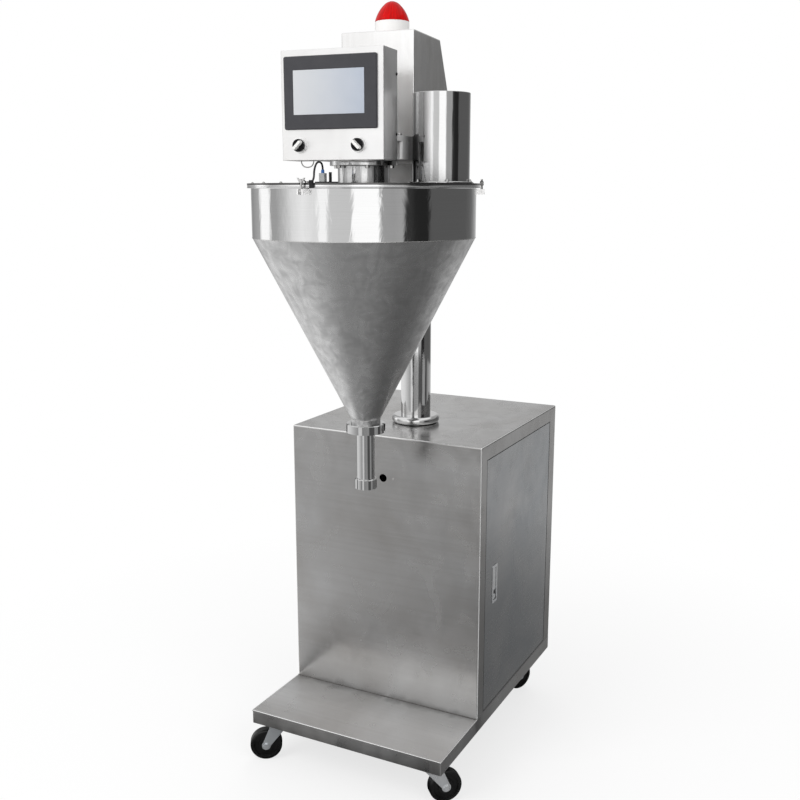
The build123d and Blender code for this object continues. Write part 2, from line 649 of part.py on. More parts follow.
MODULE_FACE = BOARD_FACE.offset(BOARD_SHEET)
MODULE_TOP = BOARD_HEIGHT / 2 - MODULE_MARGIN
MODULE_SIDE = BOARD_WIDTH / 2 - MODULE_MARGIN
with BuildPart() as control_modules:
    with BuildSketch(MODULE_FACE):
        with Locations((DRIVE_SIZE[1] / 2 - MODULE_SIDE, MODULE_TOP - DRIVE_SIZE[2] / 2)):
            Rectangle(DRIVE_SIZE[1], DRIVE_SIZE[2])
    extrude(amount=DRIVE_SIZE[0])
    with BuildSketch(MODULE_FACE):
        with Locations((MODULE_SIDE - SUPPLY_SIZE[1] / 2, MODULE_TOP - SUPPLY_SIZE[2] / 2)):
            Rectangle(SUPPLY_SIZE[1], SUPPLY_SIZE[2])
    extrude(amount=SUPPLY_SIZE[0])
    with BuildSketch(MODULE_FACE):
        with Locations((0, -BOARD_HEIGHT / 2 + MODULE_MARGIN + CONTACTOR_SIZE[2] / 2)):
            with GridLocations(CONTACTOR_PITCH, 0, CONTACTOR_COUNT, 1):
                Rectangle(CONTACTOR_SIZE[1], CONTACTOR_SIZE[2])
    extrude(amount=CONTACTOR_SIZE[0])
write(control_modules, "control_modules")

# Column through the roof to the deck, and its foot ring
COLUMN_TOP = CASE_BOTTOM - COLUMN_TOP_GAP
with BuildPart() as column:
    with BuildSketch(Plane.XY.offset(DECK_Z)):
        Circle(COLUMN_FOOT_RADIUS)
    extrude(amount=COLUMN_FOOT_THICK)
    with BuildSketch(Plane.XY.offset(DECK_Z)):
        Circle(COLUMN_RADIUS)
    extrude(amount=COLUMN_TOP - DECK_Z)
    with BuildSketch(Plane.XY.offset(DECK_Z)):
        Circle(COLUMN_RADIUS - COLUMN_WALL)
    extrude(amount=COLUMN_TOP - DECK_Z, mode=Mode.SUBTRACT)
write(column, "column")

with BuildPart() as column_flange:
    with BuildSketch(Plane.XY.offset(ROOF_Z)):
        Circle(FLANGE_RADIUS)
        Circle(COLUMN_RADIUS + SEAT, mode=Mode.SUBTRACT)
    extrude(amount=FLANGE_HEIGHT)
    flange_rims = column_flange.edges().filter_by(GeomType.CIRCLE).sort_by(SortBy.RADIUS)[-2:]
    fillet(flange_rims, FLANGE_ROUND)
write(column_flange, "column_flange")

# Casters
CASTER_X = SIDE_X - CASTER_INSET
CASTER_FRONT_Y = TRAY_FRONT_Y + CASTER_INSET
CASTER_BACK_Y = BACK_Y - CASTER_INSET
CASTER_PLACES = {
    "front_left": (-CASTER_X, CASTER_FRONT_Y),
    "front_right": (CASTER_X, CASTER_FRONT_Y),
    "rear_right": (CASTER_X, CASTER_BACK_Y),
    "rear_left": (-CASTER_X, CASTER_BACK_Y),
}
RACE_BOTTOM = CASTER_HEIGHT - CASTER_PLATE_SHEET - RACE_HEIGHT
CROWN_BOTTOM = RACE_BOTTOM - FORK_SHEET
FORK_INNER = WHEEL_WIDTH / 2 + SIDE_PLAY
with BuildPart() as caster_plates:
    for place in CASTER_PLACES.values():
        with BuildSketch(Plane.XY.offset(CASTER_HEIGHT)):
            with Locations(place):
                RectangleRounded(CASTER_PLATE_WIDTH, CASTER_PLATE_LENGTH, CASTER_PLATE_SHEET)
        extrude(amount=-CASTER_PLATE_SHEET)
        with BuildSketch(Plane.XY.offset(RACE_BOTTOM)):
            with Locations(place):
                Circle(RACE_RADIUS)
        extrude(amount=RACE_HEIGHT)
        with BuildSketch(Plane.XY.offset(RACE_BOTTOM)):
            with Locations(place):
                Circle(KINGPIN_RADIUS)
        extrude(amount=-FORK_SHEET - BELT_GAP - KINGPIN_NUT_HEIGHT)
        with BuildSketch(Plane.XY.offset(CROWN_BOTTOM - BELT_GAP)):
            with Locations(place):
                RegularPolygon(KINGPIN_NUT_RADIUS, 6)
        extrude(amount=-KINGPIN_NUT_HEIGHT)
write(caster_plates, "caster_plates")

for corner, place in CASTER_PLACES.items():
    swivel = Plane(origin=(place[0], place[1], 0)).rotated((0, 0, CASTER_HEADINGS[corner]))
    rolling = upright(swivel)
    with BuildPart() as caster_fork:
        with BuildSketch(swivel.offset(CROWN_BOTTOM)):
            Circle(RACE_RADIUS)
            Circle(KINGPIN_RADIUS + RUNNING, mode=Mode.SUBTRACT)
        extrude(amount=FORK_SHEET)
        for side in (1, -1):
            with BuildSketch(rolling.offset(side * FORK_INNER)):
                with BuildLine():
                    Polyline(
                        (-FORK_LEG_TOP / 2, RACE_BOTTOM),
                        (FORK_LEG_TOP / 2, RACE_BOTTOM),
                        (CASTER_TRAIL + FORK_LEG_END, WHEEL_RADIUS),
                        (CASTER_TRAIL - FORK_LEG_END, WHEEL_RADIUS),
                        close=True,
                    )
                make_face()
                with Locations((CASTER_TRAIL, WHEEL_RADIUS)):
                    Circle(FORK_LEG_END)
                    Circle(AXLE_RADIUS + SEAT, mode=Mode.SUBTRACT)
            extrude(amount=side * FORK_SHEET)
    with BuildPart() as caster_axle:
        with BuildSketch(rolling):
            with Locations((CASTER_TRAIL, WHEEL_RADIUS)):
                Circle(AXLE_RADIUS)
        extrude(amount=FORK_INNER + FORK_SHEET, both=True)
        for side in (1, -1):
            with BuildSketch(rolling.offset(side * (FORK_INNER + FORK_SHEET))):
                with Locations((CASTER_TRAIL, WHEEL_RADIUS)):
                    RegularPolygon(AXLE_HEAD_RADIUS, 6)
            extrude(amount=side * AXLE_HEAD_LENGTH)
    fork_set = Compound(label=f"caster_fork_{corner}", children=[caster_fork.part, caster_axle.part])
    export_step(fork_set, f"parts/caster_fork_{corner}.step")
    axle_line = Axis(rolling.from_local_coords((CASTER_TRAIL, WHEEL_RADIUS, 0)), rolling.z_dir)
    wheel_section = Plane(origin=axle_line.position, x_dir=rolling.z_dir, z_dir=rolling.x_dir)
    with BuildPart() as caster_wheel:
        with BuildSketch(wheel_section):
            with Locations((0, (AXLE_RADIUS + RUNNING + WHEEL_RADIUS) / 2)):
                Rectangle(WHEEL_WIDTH, WHEEL_RADIUS - AXLE_RADIUS - RUNNING)
            dish_height = WHEEL_RADIUS - WHEEL_SHOULDER - WHEEL_HUB_RADIUS
            with Locations((0, WHEEL_HUB_RADIUS + dish_height / 2)):
                with GridLocations(WHEEL_WIDTH, 0, 2, 1):
                    Rectangle(2 * WHEEL_DISH, dish_height - WHEEL_SHOULDER, mode=Mode.SUBTRACT)
        revolve(axis=axle_line)
        tread = caster_wheel.edges().filter_by(GeomType.CIRCLE).sort_by(SortBy.RADIUS)[-2:]
        fillet(tread, WHEEL_TREAD_ROUND)
    write(caster_wheel, f"caster_wheel_{corner}")

# Column clamp: a split block under the drive case
with BuildPart() as column_clamp:
    with BuildSketch(head_plane(0, 0, CASE_BOTTOM)):
        with Locations((0, (CASE_REAR - CLAMP_FRONT) / 2)):
            RectangleRounded(2 * CLAMP_HALF_WIDTH, CASE_REAR + CLAMP_FRONT, CLAMP_EDGE)
        Circle(COLUMN_RADIUS + RUNNING, mode=Mode.SUBTRACT)
        with Locations((0, CASE_REAR)):
            Rectangle(CLAMP_SPLIT, 2 * (CASE_REAR - COLUMN_RADIUS) + CLAMP_SPLIT, mode=Mode.SUBTRACT)
    extrude(amount=-CLAMP_HEIGHT)
write(column_clamp, "column_clamp")

# Drive case and the plate that closes it
CASE_LENGTH = CASE_FRONT + CASE_REAR
PLATE_LENGTH = PANEL_BACK + CASE_REAR
with BuildPart() as drive_case:
    with BuildSketch(head_plane(0, (CASE_FRONT - CASE_REAR) / 2, CASE_BOTTOM)):
        RectangleRounded(2 * CASE_HALF_WIDTH, CASE_LENGTH, CASE_CORNER)
    extrude(amount=CASE_HEIGHT)
    with BuildSketch(head_plane(0, (CASE_FRONT - CASE_REAR) / 2, CASE_BOTTOM + CASE_FLOOR)):
        case_room = (2 * (CASE_HALF_WIDTH - CASE_WALL), CASE_LENGTH - 2 * CASE_WALL)
        RectangleRounded(*case_room, CASE_CORNER - CASE_WALL / 2)
    extrude(amount=CASE_HEIGHT, mode=Mode.SUBTRACT)
    with BuildSketch(head_plane(0, ARM, CASE_BOTTOM)):
        Circle(STIRRER_SHAFT_RADIUS + SHAFT_HOLE_PLAY)
    extrude(amount=CASE_FLOOR, mode=Mode.SUBTRACT)
write(drive_case, "drive_case")

with BuildPart() as drive_plate:
    with BuildSketch(head_plane(0, (PANEL_BACK - CASE_REAR) / 2, PLATE_BOTTOM)):
        Rectangle(2 * CASE_HALF_WIDTH, PLATE_LENGTH)
    extrude(amount=PLATE_THICK)
    with BuildSketch(head_plane(0, ARM, PLATE_TOP)):
        Circle(PLATE_BOSS_RADIUS)
    extrude(amount=PLATE_BOSS_HEIGHT)
    with BuildSketch(head_plane(0, ARM, PLATE_BOTTOM)):
        Circle(PLATE_BEARING_RADIUS + SEAT)
    extrude(amount=PLATE_BEARING_WIDTH, mode=Mode.SUBTRACT)
    for forward, shaft in (
        (SERVO_FORWARD, SERVO_SHAFT_RADIUS),
        (STIRRER_MOTOR_FORWARD, STIRRER_MOTOR_SHAFT_RADIUS),
    ):
        with BuildSketch(head_plane(0, forward, PLATE_BOTTOM)):
            Circle(shaft + SHAFT_HOLE_PLAY)
        extrude(amount=PLATE_THICK, mode=Mode.SUBTRACT)
write(drive_plate, "drive_plate")

# Motor cover: folded sheet with a sloping back
with BuildPart() as motor_cover:
    with BuildSketch(Plane(origin=HEAD.origin, x_dir=-HEAD.y_dir, z_dir=-HEAD.x_dir)):
        with BuildLine():
            Polyline(
                (COVER_FRONT, PLATE_TOP),
                (COVER_FRONT, COVER_TOP),
                (COVER_TOP_BACK, COVER_TOP),
                (-COVER_REAR, PLATE_TOP),
                close=True,
            )
        make_face()
    extrude(amount=COVER_HALF_WIDTH, both=True)
    cover_folds = motor_cover.edges().filter_by(lambda edge: edge.center().Z > PLATE_TOP + COVER_ROUND)
    fillet(cover_folds, COVER_ROUND)
    offset(amount=-COVER_SHEET, openings=motor_cover.faces().sort_by(Axis.Z)[0])
write(motor_cover, "motor_cover")

# Beacon: base with a lamp post, and its lens
BEACON_PLACE = head_plane(0, BEACON_FORWARD, COVER_TOP)
BEACON_SECTION = upright(head_plane(0, BEACON_FORWARD, 0))
BEACON_AXIS = Axis(BEACON_PLACE.origin, (0, 0, 1))
LENS_Z = COVER_TOP + BEACON_BASE_HEIGHT
LENS_TOP = LENS_Z + BEACON_LENS_HEIGHT
SPIGOT_RADIUS = BEACON_RADIUS - BEACON_LENS_WALL - RUNNING
with BuildPart() as beacon_base:
    with BuildSketch(BEACON_PLACE):
        Circle(BEACON_RADIUS)
    extrude(amount=BEACON_BASE_HEIGHT)
    with BuildSketch(BEACON_PLACE.offset(BEACON_BASE_HEIGHT)):
        Circle(SPIGOT_RADIUS - BEACON_LENS_WALL)
    extrude(amount=BEACON_SPIGOT)
    with BuildSketch(BEACON_PLACE.offset(BEACON_BASE_HEIGHT + BEACON_SPIGOT)):
        Circle(BEACON_LAMP_RADIUS)
    extrude(amount=BEACON_LAMP_HEIGHT)
write(beacon_base, "beacon_base")

with BuildPart() as beacon_lens:
    inner_shoulder = (
        BEACON_SHOULDER_RADIUS - BEACON_LENS_WALL,
        LENS_Z + BEACON_SHOULDER_RISE - BEACON_LENS_WALL / 2,
    )
    with BuildSketch(BEACON_SECTION):
        with BuildLine():
            outer = Spline(
                (BEACON_RADIUS, LENS_Z),
                (BEACON_SHOULDER_RADIUS, LENS_Z + BEACON_SHOULDER_RISE),
                (0, LENS_TOP),
                tangents=((0, 1), (-1, 0)),
            )
            inner = Spline(
                (BEACON_RADIUS - BEACON_LENS_WALL, LENS_Z),
                inner_shoulder,
                (0, LENS_TOP - BEACON_LENS_WALL),
                tangents=((0, 1), (-1, 0)),
            )
            Line(outer @ 0, inner @ 0)
            Line(outer @ 1, inner @ 1)
        make_face()
    revolve(axis=BEACON_AXIS)
write(beacon_lens, "beacon_lens")

# Motors on the drive plate
with BuildPart() as servo_motor:
    with BuildSketch(head_plane(0, SERVO_FORWARD, PLATE_TOP)):
        RectangleRounded(SERVO_SIDE, SERVO_SIDE, MOTOR_EDGE)
    extrude(amount=SERVO_BODY)
    with BuildSketch(head_plane(0, SERVO_FORWARD, PLATE_TOP + SERVO_BODY)):
        RectangleRounded(SERVO_CAP_SIDE, SERVO_CAP_SIDE, MOTOR_EDGE)
    extrude(amount=SERVO_CAP)
    with BuildSketch(head_plane(0, SERVO_FORWARD, PLATE_TOP)):
        Circle(SERVO_SHAFT_RADIUS + RUNNING)
    extrude(amount=MOTOR_SHAFT_DEPTH + RUNNING, mode=Mode.SUBTRACT)
write(servo_motor, "servo_motor")

with BuildPart() as stirrer_motor:
    with BuildSketch(head_plane(0, STIRRER_MOTOR_FORWARD, PLATE_TOP)):
        RectangleRounded(GEARBOX_SIDE, GEARBOX_SIDE, MOTOR_EDGE)
    extrude(amount=GEARBOX_HEIGHT)
    with BuildSketch(head_plane(0, STIRRER_MOTOR_FORWARD, PLATE_TOP + GEARBOX_HEIGHT)):
        Circle(STIRRER_MOTOR_RADIUS)
    extrude(amount=STIRRER_MOTOR_LENGTH)
    fillet(stirrer_motor.edges().filter_by(GeomType.CIRCLE).sort_by(Axis.Z)[-1], MOTOR_EDGE)
    with BuildSketch(head_plane(0, STIRRER_MOTOR_FORWARD, PLATE_TOP)):
        Circle(STIRRER_MOTOR_SHAFT_RADIUS + RUNNING)
    extrude(amount=MOTOR_SHAFT_DEPTH + RUNNING, mode=Mode.SUBTRACT)
write(stirrer_motor, "stirrer_motor")


def belt_pulley(centre: Plane, radius: float, z: float) -> Part:
    """Make a solid flanged belt pulley on a level centre, its lower face at height z."""
    with BuildPart() as pulley:
        with BuildSketch(centre.offset(z)):
            Circle(radius)
        extrude(amount=PULLEY_WIDTH)
        for flange_z in (z, z + PULLEY_WIDTH - PULLEY_FLANGE):
            with BuildSketch(centre.offset(flange_z)):
                Circle(radius + PULLEY_FLANGE_RISE)
            extrude(amount=PULLEY_FLANGE)
    return pulley.part


# Motor pulleys, each in one piece with its motor's shaft
MOTOR_SHAFT_TOP = PLATE_TOP + MOTOR_SHAFT_DEPTH
SERVO_CENTRE = head_plane(0, SERVO_FORWARD, 0)
STIRRER_MOTOR_CENTRE = head_plane(0, STIRRER_MOTOR_FORWARD, 0)
with BuildPart() as servo_pulley:
    add(belt_pulley(SERVO_CENTRE, SERVO_PULLEY_RADIUS, UPPER_PULLEY_Z))
    with BuildSketch(SERVO_CENTRE.offset(UPPER_PULLEY_Z)):
        Circle(SERVO_SHAFT_RADIUS)
    extrude(amount=MOTOR_SHAFT_TOP - UPPER_PULLEY_Z)
write(servo_pulley, "servo_pulley")

with BuildPart() as stirrer_motor_pulley:
    add(belt_pulley(STIRRER_MOTOR_CENTRE, STIRRER_MOTOR_PULLEY_RADIUS, LOWER_PULLEY_Z))
    with BuildSketch(STIRRER_MOTOR_CENTRE.offset(LOWER_PULLEY_Z)):
        Circle(STIRRER_MOTOR_SHAFT_RADIUS)
    extrude(amount=MOTOR_SHAFT_TOP - LOWER_PULLEY_Z)
write(stirrer_motor_pulley, "stirrer_motor_pulley")

# Belts: closed loops round the two pairs of pulleys
BELT_WIDTH = PULLEY_WIDTH - 2 * PULLEY_FLANGE - 2 * SIDE_PLAY
with BuildPart() as drive_belts:
    for motor, motor_radius, spindle_radius, z in (
        (SERVO_FORWARD, SERVO_PULLEY_RADIUS, AUGER_PULLEY_RADIUS, UPPER_PULLEY_Z),
        (STIRRER_MOTOR_FORWARD, STIRRER_MOTOR_PULLEY_RADIUS, STIRRER_PULLEY_RADIUS, LOWER_PULLEY_Z),
    ):
        belt_z = z + PULLEY_FLANGE + SIDE_PLAY
        for grow, mode in ((BELT_GAP + BELT_THICK, Mode.ADD), (BELT_GAP, Mode.SUBTRACT)):
            with BuildSketch(head_plane(0, 0, belt_z)):
                with Locations((0, -motor)):
                    Circle(motor_radius + grow)
                with Locations((0, -ARM)):
                    Circle(spindle_radius + grow)
                make_hull()
            extrude(amount=BELT_WIDTH, mode=mode)
write(drive_belts, "drive_belts")

# Neck: bearing housing between the lid and the drive case
LOWER_BEARING_Z = LID_TOP + NECK_FOOT
UPPER_BEARING_Z = CASE_BOTTOM - NECK_BEARING_WIDTH
with BuildPart() as neck:
    with BuildSketch(SPINDLE.offset(LID_TOP)):
        Circle(NECK_RADIUS)
    extrude(amount=CASE_BOTTOM - LID_TOP)
    with BuildSketch(SPINDLE.offset(NECK_FLANGE_BOTTOM)):
        Circle(NECK_FLANGE_RADIUS)
    extrude(amount=NECK_FLANGE_THICK)
    with BuildSketch(SPINDLE.offset(LID_TOP)):
        Circle(NECK_SHOULDER)
    extrude(amount=CASE_BOTTOM - LID_TOP, mode=Mode.SUBTRACT)
    for z in (LOWER_BEARING_Z, UPPER_BEARING_Z):
        with BuildSketch(SPINDLE.offset(z)):
            Circle(NECK_BEARING_RADIUS + SEAT)
        extrude(amount=NECK_BEARING_WIDTH, mode=Mode.SUBTRACT)
write(neck, "neck")

with BuildPart() as spindle_bearings:
    for z, width, radius, shaft in (
        (LOWER_BEARING_Z, NECK_BEARING_WIDTH, NECK_BEARING_RADIUS, STIRRER_SHAFT_RADIUS),
        (UPPER_BEARING_Z, NECK_BEARING_WIDTH, NECK_BEARING_RADIUS, STIRRER_SHAFT_RADIUS),
        (PLATE_BOTTOM, PLATE_BEARING_WIDTH, PLATE_BEARING_RADIUS, AUGER_SHAFT_RADIUS),
    ):
        with BuildSketch(SPINDLE.offset(z)):
            Circle(radius)
            Circle(shaft + RUNNING, mode=Mode.SUBTRACT)
        extrude(amount=width)
write(spindle_bearings, "spindle_bearings")

# Hopper: rim flange, cylinder, cone and ferrule in one turned profile
INNER_FOOT = FERRULE_RADIUS - CONE_WALL_ACROSS
with BuildPart() as hopper:
    with BuildSketch(SPINDLE_SECTION):
        with BuildLine():
            Polyline(
                (INNER_FOOT, FERRULE_BOTTOM),
                (FERRULE_RADIUS, FERRULE_BOTTOM),
                (FERRULE_RADIUS, CONE_FOOT),
                (HOPPER_RADIUS, CONE_TOP),
                (HOPPER_RADIUS, RIM_TOP - RIM_THICK),
                (RIM_RADIUS, RIM_TOP - RIM_THICK),
                (RIM_RADIUS, RIM_TOP),
                (HOPPER_RADIUS - HOPPER_WALL, RIM_TOP),
                (HOPPER_RADIUS - HOPPER_WALL, CONE_TOP + (CONE_WALL_ACROSS - HOPPER_WALL) / CONE_SLOPE),
                (INNER_FOOT, CONE_FOOT),
                close=True,
            )
        make_face()
    revolve(axis=SPINDLE_AXIS)
write(hopper, "hopper")

with BuildPart() as lid_gasket:
    with BuildSketch(SPINDLE.offset(RIM_TOP)):
        Circle(RIM_RADIUS - SIDE_PLAY)
        Circle(RIM_RADIUS - GASKET_WIDTH, mode=Mode.SUBTRACT)
    extrude(amount=GASKET_THICK)
write(lid_gasket, "lid_gasket")

# Lid with forked lugs for the swing bolts
LUG_REACH = CLAMP_PIN_R + LUG_BEYOND_SHANK
LUG_SLOT = SWING_SHANK_RADIUS + LUG_SLOT_PLAY
with BuildPart() as lid:
    with BuildSketch(SPINDLE.offset(LID_BOTTOM)):
        Circle(RIM_RADIUS)
        for angle in CLAMP_ANGLES:
            with Locations((LUG_REACH / 2 * sin(radians(angle)), -LUG_REACH / 2 * cos(radians(angle)))):
                Rectangle(2 * LUG_HALF_WIDTH, LUG_REACH, rotation=angle)
        Circle(LID_SPINDLE_HOLE, mode=Mode.SUBTRACT)
        with Locations((INLET_RIGHT, 0)):
            Circle(INLET_RADIUS + SEAT, mode=Mode.SUBTRACT)
    extrude(amount=LID_THICK)
    for angle in CLAMP_ANGLES:
        with BuildSketch(rim_plane(angle, CLAMP_PIN_R, LID_BOTTOM)):
            Circle(LUG_SLOT)
            with Locations((CLAMP_PIN_OUT, 0)):
                Rectangle(2 * CLAMP_PIN_OUT, 2 * LUG_SLOT)
        extrude(amount=LID_THICK, mode=Mode.SUBTRACT)
write(lid, "lid")

# Inlet tube through the lid
INLET_PLACE = head_plane(INLET_RIGHT, ARM, 0)
with BuildPart() as inlet_tube:
    with BuildSketch(INLET_PLACE.offset(LID_BOTTOM - INLET_TAIL)):
        Circle(INLET_RADIUS)
    extrude(amount=INLET_TOP - LID_BOTTOM + INLET_TAIL)
    with BuildSketch(INLET_PLACE.offset(LID_TOP)):
        Circle(INLET_FLANGE_RADIUS)
    extrude(amount=INLET_FLANGE_THICK)
    with BuildSketch(INLET_PLACE.offset(LID_BOTTOM - INLET_TAIL)):
        Circle(INLET_RADIUS - INLET_WALL)
    extrude(amount=INLET_TOP - LID_BOTTOM + INLET_TAIL, mode=Mode.SUBTRACT)
write(inlet_tube, "inlet_tube")

# Ring nut, auger tube and mouth collar
NUT_TOP = FERRULE_BOTTOM + NUT_OVERLAP
NUT_BOTTOM = NUT_TOP - NUT_HEIGHT
FLANGE_BOTTOM = NUT_BOTTOM + NUT_LIP
with BuildPart() as ring_nut:
    with BuildSketch(SPINDLE.offset(NUT_BOTTOM)):
        Circle(NUT_RADIUS)
        with PolarLocations(NUT_RADIUS, NUT_SLOTS, start_angle=NUT_SLOT_START):
            Rectangle(2 * NUT_SLOT_DEPTH, NUT_SLOT_WIDTH, mode=Mode.SUBTRACT)
    extrude(amount=NUT_HEIGHT)
    chamfer(ring_nut.faces().sort_by(Axis.Z)[-1].outer_wire().edges(), NUT_EDGE)
    with BuildSketch(SPINDLE.offset(NUT_BOTTOM)):
        Circle(TUBE_RADIUS + RUNNING)
    extrude(amount=NUT_HEIGHT, mode=Mode.SUBTRACT)
    with BuildSketch(SPINDLE.offset(FLANGE_BOTTOM)):
        Circle(FERRULE_RADIUS + RUNNING)
    extrude(amount=NUT_HEIGHT, mode=Mode.SUBTRACT)
write(ring_nut, "ring_nut")

TUBE_BORE = TUBE_RADIUS - TUBE_WALL
with BuildPart() as auger_tube:
    with BuildSketch(SPINDLE_SECTION):
        with BuildLine():
            Polyline(
                (TUBE_BORE, NOZZLE_Z),
                (TUBE_RADIUS, NOZZLE_Z),
                (TUBE_RADIUS, FLANGE_BOTTOM),
                (TUBE_FLANGE_RADIUS, FLANGE_BOTTOM),
                (TUBE_FLANGE_RADIUS, FERRULE_BOTTOM),
                (INNER_FOOT, FERRULE_BOTTOM),
                (TUBE_BORE, FLANGE_BOTTOM + TUBE_WALL),
                close=True,
            )
        make_face()
    revolve(axis=SPINDLE_AXIS)
write(auger_tube, "auger_tube")

with BuildPart() as tube_collar:
    with BuildSketch(SPINDLE.offset(NOZZLE_Z)):
        Circle(COLLAR_RADIUS)
        with PolarLocations(COLLAR_RADIUS, COLLAR_SLOTS):
            Rectangle(2 * COLLAR_SLOT_DEPTH, COLLAR_SLOT_WIDTH, mode=Mode.SUBTRACT)
    extrude(amount=COLLAR_HEIGHT)
    chamfer(tube_collar.faces().sort_by(Axis.Z)[-1].outer_wire().edges(), COLLAR_EDGE)
    with BuildSketch(SPINDLE.offset(NOZZLE_Z)):
        Circle(TUBE_RADIUS + SEAT)
    extrude(amount=COLLAR_HEIGHT, mode=Mode.SUBTRACT)
write(tube_collar, "tube_collar")

# Auger shaft with its sleeve, and its pulley as a second solid
SLEEVE_BOTTOM = CONE_TOP - AUGER_SLEEVE_LENGTH
STIRRER_SHAFT_BOTTOM = CONE_TOP - SIDE_PLAY
STIRRER_SHAFT_TOP = LOWER_PULLEY_Z + PULLEY_WIDTH + PULLEY_STACK_GAP / 2
with BuildPart() as auger_shaft:
    with BuildSketch(SPINDLE.offset(SLEEVE_BOTTOM)):
        Circle(AUGER_SLEEVE_RADIUS)
    extrude(amount=AUGER_SLEEVE_LENGTH - SIDE_PLAY)
    with BuildSketch(SPINDLE.offset(SLEEVE_BOTTOM)):
        Circle(AUGER_SHAFT_RADIUS)
    extrude(amount=PLATE_BOTTOM + PLATE_BEARING_WIDTH - SIDE_PLAY - SLEEVE_BOTTOM)
    with BuildSketch(SPINDLE.offset(SLEEVE_BOTTOM)):
        Circle(AUGER_CORE_RADIUS + SEAT)
    extrude(amount=AUGER_SLEEVE_DEPTH, mode=Mode.SUBTRACT)
with BuildPart() as auger_pulley:
    add(belt_pulley(SPINDLE, AUGER_PULLEY_RADIUS, UPPER_PULLEY_Z))
    with BuildSketch(SPINDLE.offset(UPPER_PULLEY_Z)):
        Circle(AUGER_SHAFT_RADIUS + SEAT)
    extrude(amount=PULLEY_WIDTH, mode=Mode.SUBTRACT)
auger_set = Compound(label="auger_shaft", children=[auger_shaft.part, auger_pulley.part])
export_step(auger_set, "parts/auger_shaft.step")

# Auger screw: a core with a helical flight
AUGER_TIP_Z = NOZZLE_Z + AUGER_TIP_RISE
FLIGHT_MIDDLE = (AUGER_CORE_RADIUS - AUGER_FLIGHT_ROOT + AUGER_FLIGHT_RADIUS) / 2
with BuildPart() as auger_screw:
    with BuildSketch(SPINDLE.offset(AUGER_TIP_Z)):
        Circle(AUGER_CORE_RADIUS)
    extrude(amount=SLEEVE_BOTTOM + AUGER_SLEEVE_DEPTH - SIDE_PLAY - AUGER_TIP_Z)
    with BuildLine():
        flight_line = Helix(
            pitch=AUGER_PITCH,
            height=AUGER_PITCH * AUGER_TURNS,
            radius=FLIGHT_MIDDLE,
            center=SPINDLE.origin + Vector(0, 0, AUGER_TIP_Z + AUGER_TIP_TAIL),
        )
    with BuildSketch(Plane(origin=flight_line @ 0, x_dir=(1, 0, 0), z_dir=flight_line % 0)):
        Rectangle(2 * (AUGER_FLIGHT_RADIUS - FLIGHT_MIDDLE), AUGER_FLIGHT_THICK)
    sweep(is_frenet=True)
write(auger_screw, "auger_screw")

# Stirrer: hollow shaft with its pulley, and the scraper frame that follows the cone
with BuildPart() as stirrer_shaft:
    with BuildSketch(SPINDLE.offset(STIRRER_SHAFT_BOTTOM)):
        Circle(STIRRER_SHAFT_RADIUS)
        Circle(STIRRER_SHAFT_BORE, mode=Mode.SUBTRACT)
    extrude(amount=STIRRER_SHAFT_TOP - STIRRER_SHAFT_BOTTOM)
with BuildPart() as stirrer_pulley:
    add(belt_pulley(SPINDLE, STIRRER_PULLEY_RADIUS, LOWER_PULLEY_Z))
    with BuildSketch(SPINDLE.offset(LOWER_PULLEY_Z)):
        Circle(STIRRER_SHAFT_RADIUS + SEAT)
    extrude(amount=PULLEY_WIDTH, mode=Mode.SUBTRACT)
stirrer_set = Compound(label="stirrer_shaft", children=[stirrer_shaft.part, stirrer_pulley.part])
export_step(stirrer_set, "parts/stirrer_shaft.step")

BLADE_TOP_R = HOPPER_RADIUS - CONE_WALL_ACROSS - STIRRER_WALL_GAP
BLADE_FOOT_R = INNER_FOOT + CONE_SLOPE * STIRRER_FOOT_RISE - STIRRER_WALL_GAP
with BuildPart() as stirrer_paddles:
    with BuildSketch(SPINDLE.offset(STIRRER_BAR_Z)):
        Circle(STIRRER_HUB_RADIUS)
        Rectangle(2 * (BLADE_TOP_R - STIRRER_BLADE_WIDTH / 2), STIRRER_BAR_THICK)
    extrude(amount=STIRRER_BAR_HEIGHT)
    for side in (1, -1):
        with BuildSketch(SPINDLE_SECTION):
            with BuildLine():
                Polyline(
                    (side * BLADE_TOP_R, STIRRER_BAR_Z),
                    (side * BLADE_TOP_R, STIRRER_BAR_Z + STIRRER_BAR_HEIGHT),
                    (side * (BLADE_TOP_R - STIRRER_BLADE_WIDTH), STIRRER_BAR_Z + STIRRER_BAR_HEIGHT),
                    (side * (BLADE_TOP_R - STIRRER_BLADE_WIDTH), STIRRER_BAR_Z),
                    (side * (BLADE_FOOT_R - STIRRER_BLADE_WIDTH), STIRRER_FOOT_Z),
                    (side * BLADE_FOOT_R, STIRRER_FOOT_Z),
                    close=True,
                )
            make_face()
        extrude(amount=STIRRER_BAR_THICK / 2, both=True)
    with BuildSketch(SPINDLE.offset(STIRRER_FOOT_Z)):
        Circle(STIRRER_RING_RADIUS)
        Circle(STIRRER_RING_BORE, mode=Mode.SUBTRACT)
    extrude(amount=STIRRER_RING_HEIGHT)
    with BuildSketch(SPINDLE.offset(STIRRER_BAR_Z)):
        Circle(STIRRER_SHAFT_RADIUS + SEAT)
    extrude(amount=STIRRER_BAR_HEIGHT, mode=Mode.SUBTRACT)
write(stirrer_paddles, "stirrer_paddles")

